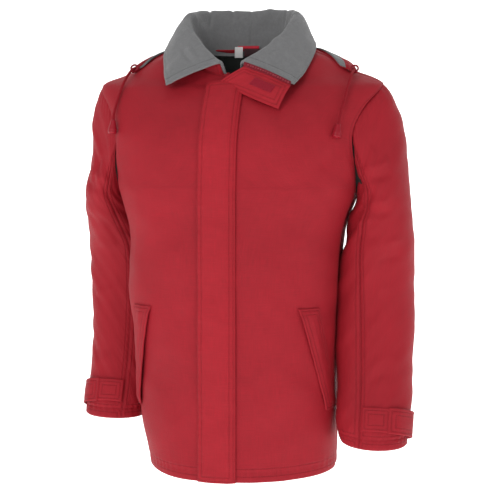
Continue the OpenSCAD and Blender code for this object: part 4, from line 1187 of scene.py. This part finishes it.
for side, sign in (("right", -1), ("left", 1)):
    mirror = np.array([sign, 1.0, 1])
    base, normal = half * mirror, normal_half * mirror
    across, up = lengths(base, 1), lengths(base, 0)
    to_edge, to_nape = up[-1:] - up, across[:, -1:] - across
    gap = np.minimum(across, to_edge)
    rise = creases(s2, h2, roll_folds[side]) + 1.2 * swell(across, up, 111 + sign, 90) + 0.5 * swell(across,
        up, 113, 34)
    rise = rise * np.clip(gap / 12, 0.3, 1) * np.clip(to_nape / 20, 0.25, 1)
    front_seam = np.abs(across - 15)
    rise = rise - 1.0 * np.exp(-((front_seam / 2.2) ** 2)) * np.clip((h2 - 0.45) / 0.05, 0, 1)
    rise = rise - 0.7 * np.exp(-(((to_edge - 9) / 2.5) ** 2)) - 0.9 * np.exp(-to_nape / 1.6)
    full = rim_round(gap, 4.6)
    edge_value = np.minimum(front_seam, 40.0)
    item = slab(
        "collar_fleece_" + side, base + normal * (rise + 1.6)[..., None], 3.0 * full, 1.8 * full,
            np.stack([across, up], -1),
        [("edge", edge_value), ("along", up)], material=fleece, normal=normal,
    )
    turn = np.array([0.72 * sign, -0.69])
    begin = turn * 0.1327
    finish = turn * 0.1497
    ends = dict(start=(begin[0], begin[1], 0.0), end=(finish[0], finish[1], 0.0))
    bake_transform(item)
    extra = ("collar_back_fleece",) if side == "left" else ()
    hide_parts("collar_wing_" + side + "_fleece", *extra)
    inner = (slice(0, -5), slice(5, None))
    shell_gap = np.minimum(across, to_edge)[inner]
    full = rim_round(shell_gap - shell_gap.min(), 2.0)
    item = slab(
        "collar_shell_" + side, (base + normal * (rise * 0.7 - 1.6)[..., None])[inner], 1.3 * full,
            1.1 * full,
        np.stack([across, up], -1)[inner], [("edge", shell_gap - 4.0), ("along", (across + up)[inner])],
        material=shell_red, normal=normal[inner],
    )
    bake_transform(item)
    extra = ("collar_back_shell",) if side == "left" else ()
    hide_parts("collar_wing_" + side + "_shell", "collar_stand_" + side, *extra)
    collar_grids[side] = (base, normal, across)

# The storm flap's upper end is sewn to the left wing's front edge and folds out with it; its inner face shows,
# with one loop patch. The zip's tape and last teeth lie between it and the fleece.
fold = collar_grids["left"][0][:, 0]
fold = fold[(h > 0.47) & (h < 0.985)]
rail_top = rows_at(fold, np.linspace(0, len(fold) - 1, 90)) + np.array([0, -2.0, -3.2])
rail_low = rows_at([[-27, -163, -74], [12, -176, -86], [46, -189, -100], [85, -198, -115]],
    np.linspace(0, 3, 90))
v = spread(34, 42)
v2, _ = np.meshgrid(v, np.arange(90), indexing="ij")
base = rail_top[None] + (rail_low - rail_top)[None] * v2[..., None]
base = base + np.array([0, -3.0, 1.5]) * np.sin(np.pi * v2)[..., None]
across, up = lengths(base, 1), lengths(base, 0)
gap = edge_gap(across, up)
normal = grid_normals(base)
if normal[..., 1].mean() > 0:
    normal = -normal
rise = 0.8 * swell(across, up, 121, 60) + 0.3 * swell(across, up, 122,
    22) - 0.6 * np.exp(-(((gap - 6) / 1.6) ** 2))
full = rim_round(gap, 2.2)
item = slab(
    "collar_flap_end_cloth", base + normal * rise[..., None], 1.7 * full, 1.7 * full,
        np.stack([across, up], -1),
    [("edge", gap - 4.0), ("along", np.where(np.minimum(up, up[-1:] - up) < np.minimum(across,
        across[:, -1:] - across), across, up))],
    material=flap_red_painted_light, normal=normal,
)
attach(item, "collar_wing_left")
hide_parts("collar_flap_end")
flap_end_base, flap_end_normal = base + normal * rise[..., None], normal

u2, v2 = np.meshgrid(spread(26, 44, (0, 0.4, 1)), spread(12, 14, (0, 0.4, 1)), indexing="xy")
row = (0.26 + 0.36 * v2) * (flap_end_base.shape[0] - 1)
column = (0.40 + 0.40 * u2) * 89


def sample(grid, row, column):
    """The grid's value between its points, by a blend of the four round it."""
    i, j = np.minimum(row.astype(int), grid.shape[0] - 2), np.minimum(column.astype(int), grid.shape[1] - 2)
    a, b = (row - i)[..., None], (column - j)[..., None]
    return (grid[i, j] * (1 - a) + grid[i + 1, j] * a) * (1 - b) + (grid[i, j + 1] * (1 - a)
        + grid[i + 1, j + 1] * a) * b


base, normal = sample(flap_end_base, row, column), sample(flap_end_normal, row, column)
gap = np.minimum(np.minimum(u2, 1 - u2) * 44, np.minimum(v2, 1 - v2) * 14)
full = rim_round(gap, 0.8) * 0.6
item = slab("collar_flap_patch_tape", base + normal * 2.1, full, full, np.stack([u2 * 44, v2 * 14], -1),
            material=patch_cloth, normal=normal)
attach(item, "collar_wing_left")
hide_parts("collar_flap_patch")

wing_line = rail_top + np.array([0, -1.0, 3.0])
u2, v2 = np.meshgrid(np.linspace(0, 1, 90), np.linspace(0, 1, 10), indexing="xy")
base = wing_line[None] + np.array([0, 1.5, 5.0]) * (v2 - 0.5)[..., None] * 1.6
item = slab("collar_zip_tape", base, 0.5, 0.5, np.stack([u2 * 95, v2 * 8], -1), material=tape_cloth)
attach(item, "collar_wing_left")
teeth_line = rows_at(wing_line[::8], np.linspace(1.2, 10.6, 17))
item = rounded_blocks("collar_zip_teeth", teeth_line + np.array([0, -2.0, 1.0]), [3.2, 2.4, 3.4],
    teeth_plastic)
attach(item, "collar_wing_left")

# ---------------------------------------------------------------- hood
# Shell cloth lined with thin fleece, sewn to the neck seam outside the collar and dropped down the back. Its
# rolled front edge, which holds the drawcord, runs over the shoulders to two corners with eyelets.
top_angle, top_ring = np.meshgrid(np.linspace(-np.pi, np.pi, 361), np.linspace(6.6, 10, 90))
top_points = body_surface(top_ring, top_angle).reshape(-1, 3)


def above_body(plan):
    """Points of plan, given as x, y and a height over the body's upper surface. The height is added to the mean z
    of the surface's three nearest sample points."""
    plan = np.asarray(plan, float)
    gap = ((plan[:, None, :2] - top_points[None, :, :2]) ** 2).sum(-1)
    near = np.argsort(gap, 1)[:, :3]
    return np.column_stack([plan[:, :2], top_points[near, 2].mean(1) + plan[:, 2]])


rim_left = [
    [203, -99, 6], [194, -74, 7], [176, -48, 8], [150, -20, 10], [118, 22, 22], [62, 74, 12], [0, 92, 4],
]
rim_right = [
    [190, -100, 6], [182, -74, 7], [166, -48, 8], [142, -20, 10], [114, 22, 22], [60, 74, 12], [0, 92, 4],
]
seam_left = [[172, -92, 2], [154, -72, 2], [132, -54, 2], [112, -34, 3], [80, 8, 4], [44, 17, 2], [0, 19, 2]]
hood_stitch = 18
depth_table = [[0.0], [0.0], [1.0], [16.0], [120.0], [215.0], [250.0]]
columns = spread(150, 400)
half_way = np.abs(2 * columns - 1)
place_on = 6 * (1 - half_way)
is_left = columns < 0.5
mirror = np.where(is_left[:, None], [[1.0, 1, 1]], [[-1.0, 1, 1]])
rim_plan = np.where(is_left[:, None], rows_at(rim_left, place_on), rows_at(rim_right, place_on))
rim = above_body(rim_plan * mirror)
seam = above_body(rows_at(seam_left, place_on) * mirror)
deep = rows_at(depth_table, place_on)[:, 0]
v = spread(120, 500)
v2, k2 = np.meshgrid(v, np.arange(len(columns)), indexing="ij")
mix = v2**1.3
drop = np.sin(np.pi * np.clip(v2 * 1.02, 0, 1) ** 1.15) ** 0.62
base = seam[None] + (rim - seam)[None] * mix[..., None]
base[..., 2] -= deep[k2] * drop * (1 - 0.08 * v2)
away = np.clip((deep[k2] - 20) / 200, 0, 1)
base[..., 1] += 14 * np.sin(np.pi * v2) * away + 10 * away * np.clip(v2 - 0.5, 0, 1)
base[..., 0] *= 1 - 0.28 * (drop * away) * np.clip(np.abs(base[..., 0]) / 120, 0, 1)
for _ in range(6):
    base[1:-1] = 0.25 * base[:-2] + 0.5 * base[1:-1] + 0.25 * base[2:]
for _ in range(12):
    base[:, 1:-1] = 0.25 * base[:, :-2] + 0.5 * base[:, 1:-1] + 0.25 * base[:, 2:]
across, up = lengths(base, 1), lengths(base, 0)
to_rim = up[-1:] - up
gap = np.minimum(np.minimum(across, across[:, -1:] - across), np.minimum(up, to_rim))
normal = grid_normals(base)
outer = normal if normal[-20, len(columns) // 2, 1] > 0 else -normal
folds = 2.4 * np.sin(columns[None] * 46 + 1.4 * np.sin(up / 60)) * np.exp(-to_rim / 90) * away
folds = folds + 3.0 * swell(across, up, 131, 120) * np.clip(deep[k2] / 60, 0, 1) + 0.8 * swell(across, up,
    132, 40)
channel = 2.6 * np.exp(-(((to_rim - 8) / 6.0) ** 2)) - 1.2 * np.exp(-(((to_rim - hood_stitch) / 2.0) ** 2))
rise = (folds * np.clip(gap / 20, 0, 1)) + 0.5 * np.sin(2 * np.pi * across
    / 13) * np.exp(-np.abs(to_rim - hood_stitch) / 7)
full = rim_round(gap, 3.6)
hem = 24.0
turned = np.clip((hem - to_rim) / 3, 0, 1)
item = slab(
    "hood_shell_cloth", base + outer * (rise + 1.2)[..., None], full * 1.4 + np.maximum(channel, -0.6) * full,
    full * (1.2 + 3.0 * turned), np.stack([across, up], -1),
        [("edge", np.abs(to_rim - hood_stitch) + 1.6), ("along", across)],
    material=shell_red, normal=outer,
)
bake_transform(item)
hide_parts("hood_pouch_shell", "hood_side_left", "hood_side_right")
lined = base + outer * (rise - 1.5)[..., None]
reach = np.maximum(up[-1] - hem + 2, 5)
lined = np.stack([
    np.stack([np.interp(v * reach[k], up[:, k], lined[:, k, axis]) for axis in range(3)], -1)
    for k in range(len(columns))
], 1)
across, up = lengths(lined, 1), lengths(lined, 0)
gap = edge_gap(across, up)
outer = grid_normals(lined)
outer = outer if outer[-20, len(columns) // 2, 1] > 0 else -outer
full = rim_round(gap, 2.6)
item = slab(
    "hood_fleece_lining", lined, full * 1.3, full * 1.7, np.stack([across, up], -1),
    [("edge", np.full_like(across, 40.0)), ("along", across)], material=fleece, normal=outer,
)
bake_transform(item)
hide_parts("hood_pouch_fleece")

# ---------------------------------------------------------------- hanger loop and labels
# At the nape, under the collar seam: a folded red tape for a hook, a small white label and a wider black one,
# both blank, sewn in along their upper edge.
nape_y = -7.0


def tape_piece(name, x0, x1, z0, z1, y, bow, thick, material):
    """A rectangle of tape facing the front, bowed forward in the middle of its height."""
    u2, v2 = np.meshgrid(spread(16, abs(x1 - x0), (0, 0.3, 0.8)), spread(14, abs(z1 - z0), (0, 0.3, 0.8)),
        indexing="xy")
    x2, z2 = x0 + (x1 - x0) * u2, z0 + (z1 - z0) * v2
    y2 = y - bow * np.sin(np.pi * v2) + 0.4 * np.sin(u2 * 5 + v2 * 3)
    base = np.stack([x2, y2, z2], -1)
    gap = np.minimum(np.minimum(u2, 1 - u2) * abs(x1 - x0), np.minimum(v2, 1 - v2) * abs(z1 - z0))
    full = rim_round(gap, 0.6) * thick / 2
    normal = np.broadcast_to(np.array([0.0, -1, 0]), base.shape)
    return slab(name, base, full, full, np.stack([u2 * abs(x1 - x0), v2 * abs(z1 - z0)], -1),
                [("edge", gap), ("along", u2 * abs(x1 - x0))], material=material, normal=normal)


def woven_label(name, dark, light):
    """A label's satin weave: fine warp lines under a soft sheen, with its own border line."""
    material, tree, shader = new_material(name, light, 0.5, sheen=0.15)
    place = tree.nodes.new("ShaderNodeUVMap")
    place.uv_map = "cloth"
    cloth = place_group(tree, weave, Vector=place.outputs[0], Pitch=0.0006)
    edge = tree.nodes.new("ShaderNodeAttribute")
    edge.attribute_name = "edge"
    border = math_node(tree, "LESS_THAN",
        math_node(tree, "ABSOLUTE", math_node(tree, "SUBTRACT", edge.outputs["Fac"], 1.6)), 0.25)
    tone = math_node(tree, "MULTIPLY_ADD", cloth.outputs["Height"], 0.2, 0.8)
    tone = math_node(tree, "SUBTRACT", tone, math_node(tree, "MULTIPLY", border, 0.35), clamp=True)
    colour_mix(tree, shader, tone, dark, light)
    bump(tree, shader, cloth.outputs["Height"], 0.5, 0.0002)
    return material


white_label = woven_label("size_label_satin", (0.45, 0.42, 0.42), (0.8, 0.79, 0.78))
black_label = woven_label("maker_label_satin", (0.16, 0.02, 0.03), (0.012, 0.012, 0.013))
loop_tape = shell_cloth("loop_tape_weave", (0.34, 0.008, 0.02), (0.6, 0.02, 0.045), rows=(0.8, 90.0),
    roughness=0.5)
item = tape_piece("size_label_tab", -24, -9.5, -22, -3, nape_y - 9.0, 1.0, 0.7, white_label)
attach(item, "jacket_body")
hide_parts("size_label")
item = tape_piece("maker_label_tab", -7, 21, -20, -6, nape_y - 9.0, 1.0, 0.8, black_label)
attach(item, "jacket_body")
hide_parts("maker_label")
item = tape_piece("hanger_loop_tape", -19, 19, -9, -1, nape_y - 5.5, 3.0, 1.6, loop_tape)
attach(item, "jacket_body")
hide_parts("hanger_loop")
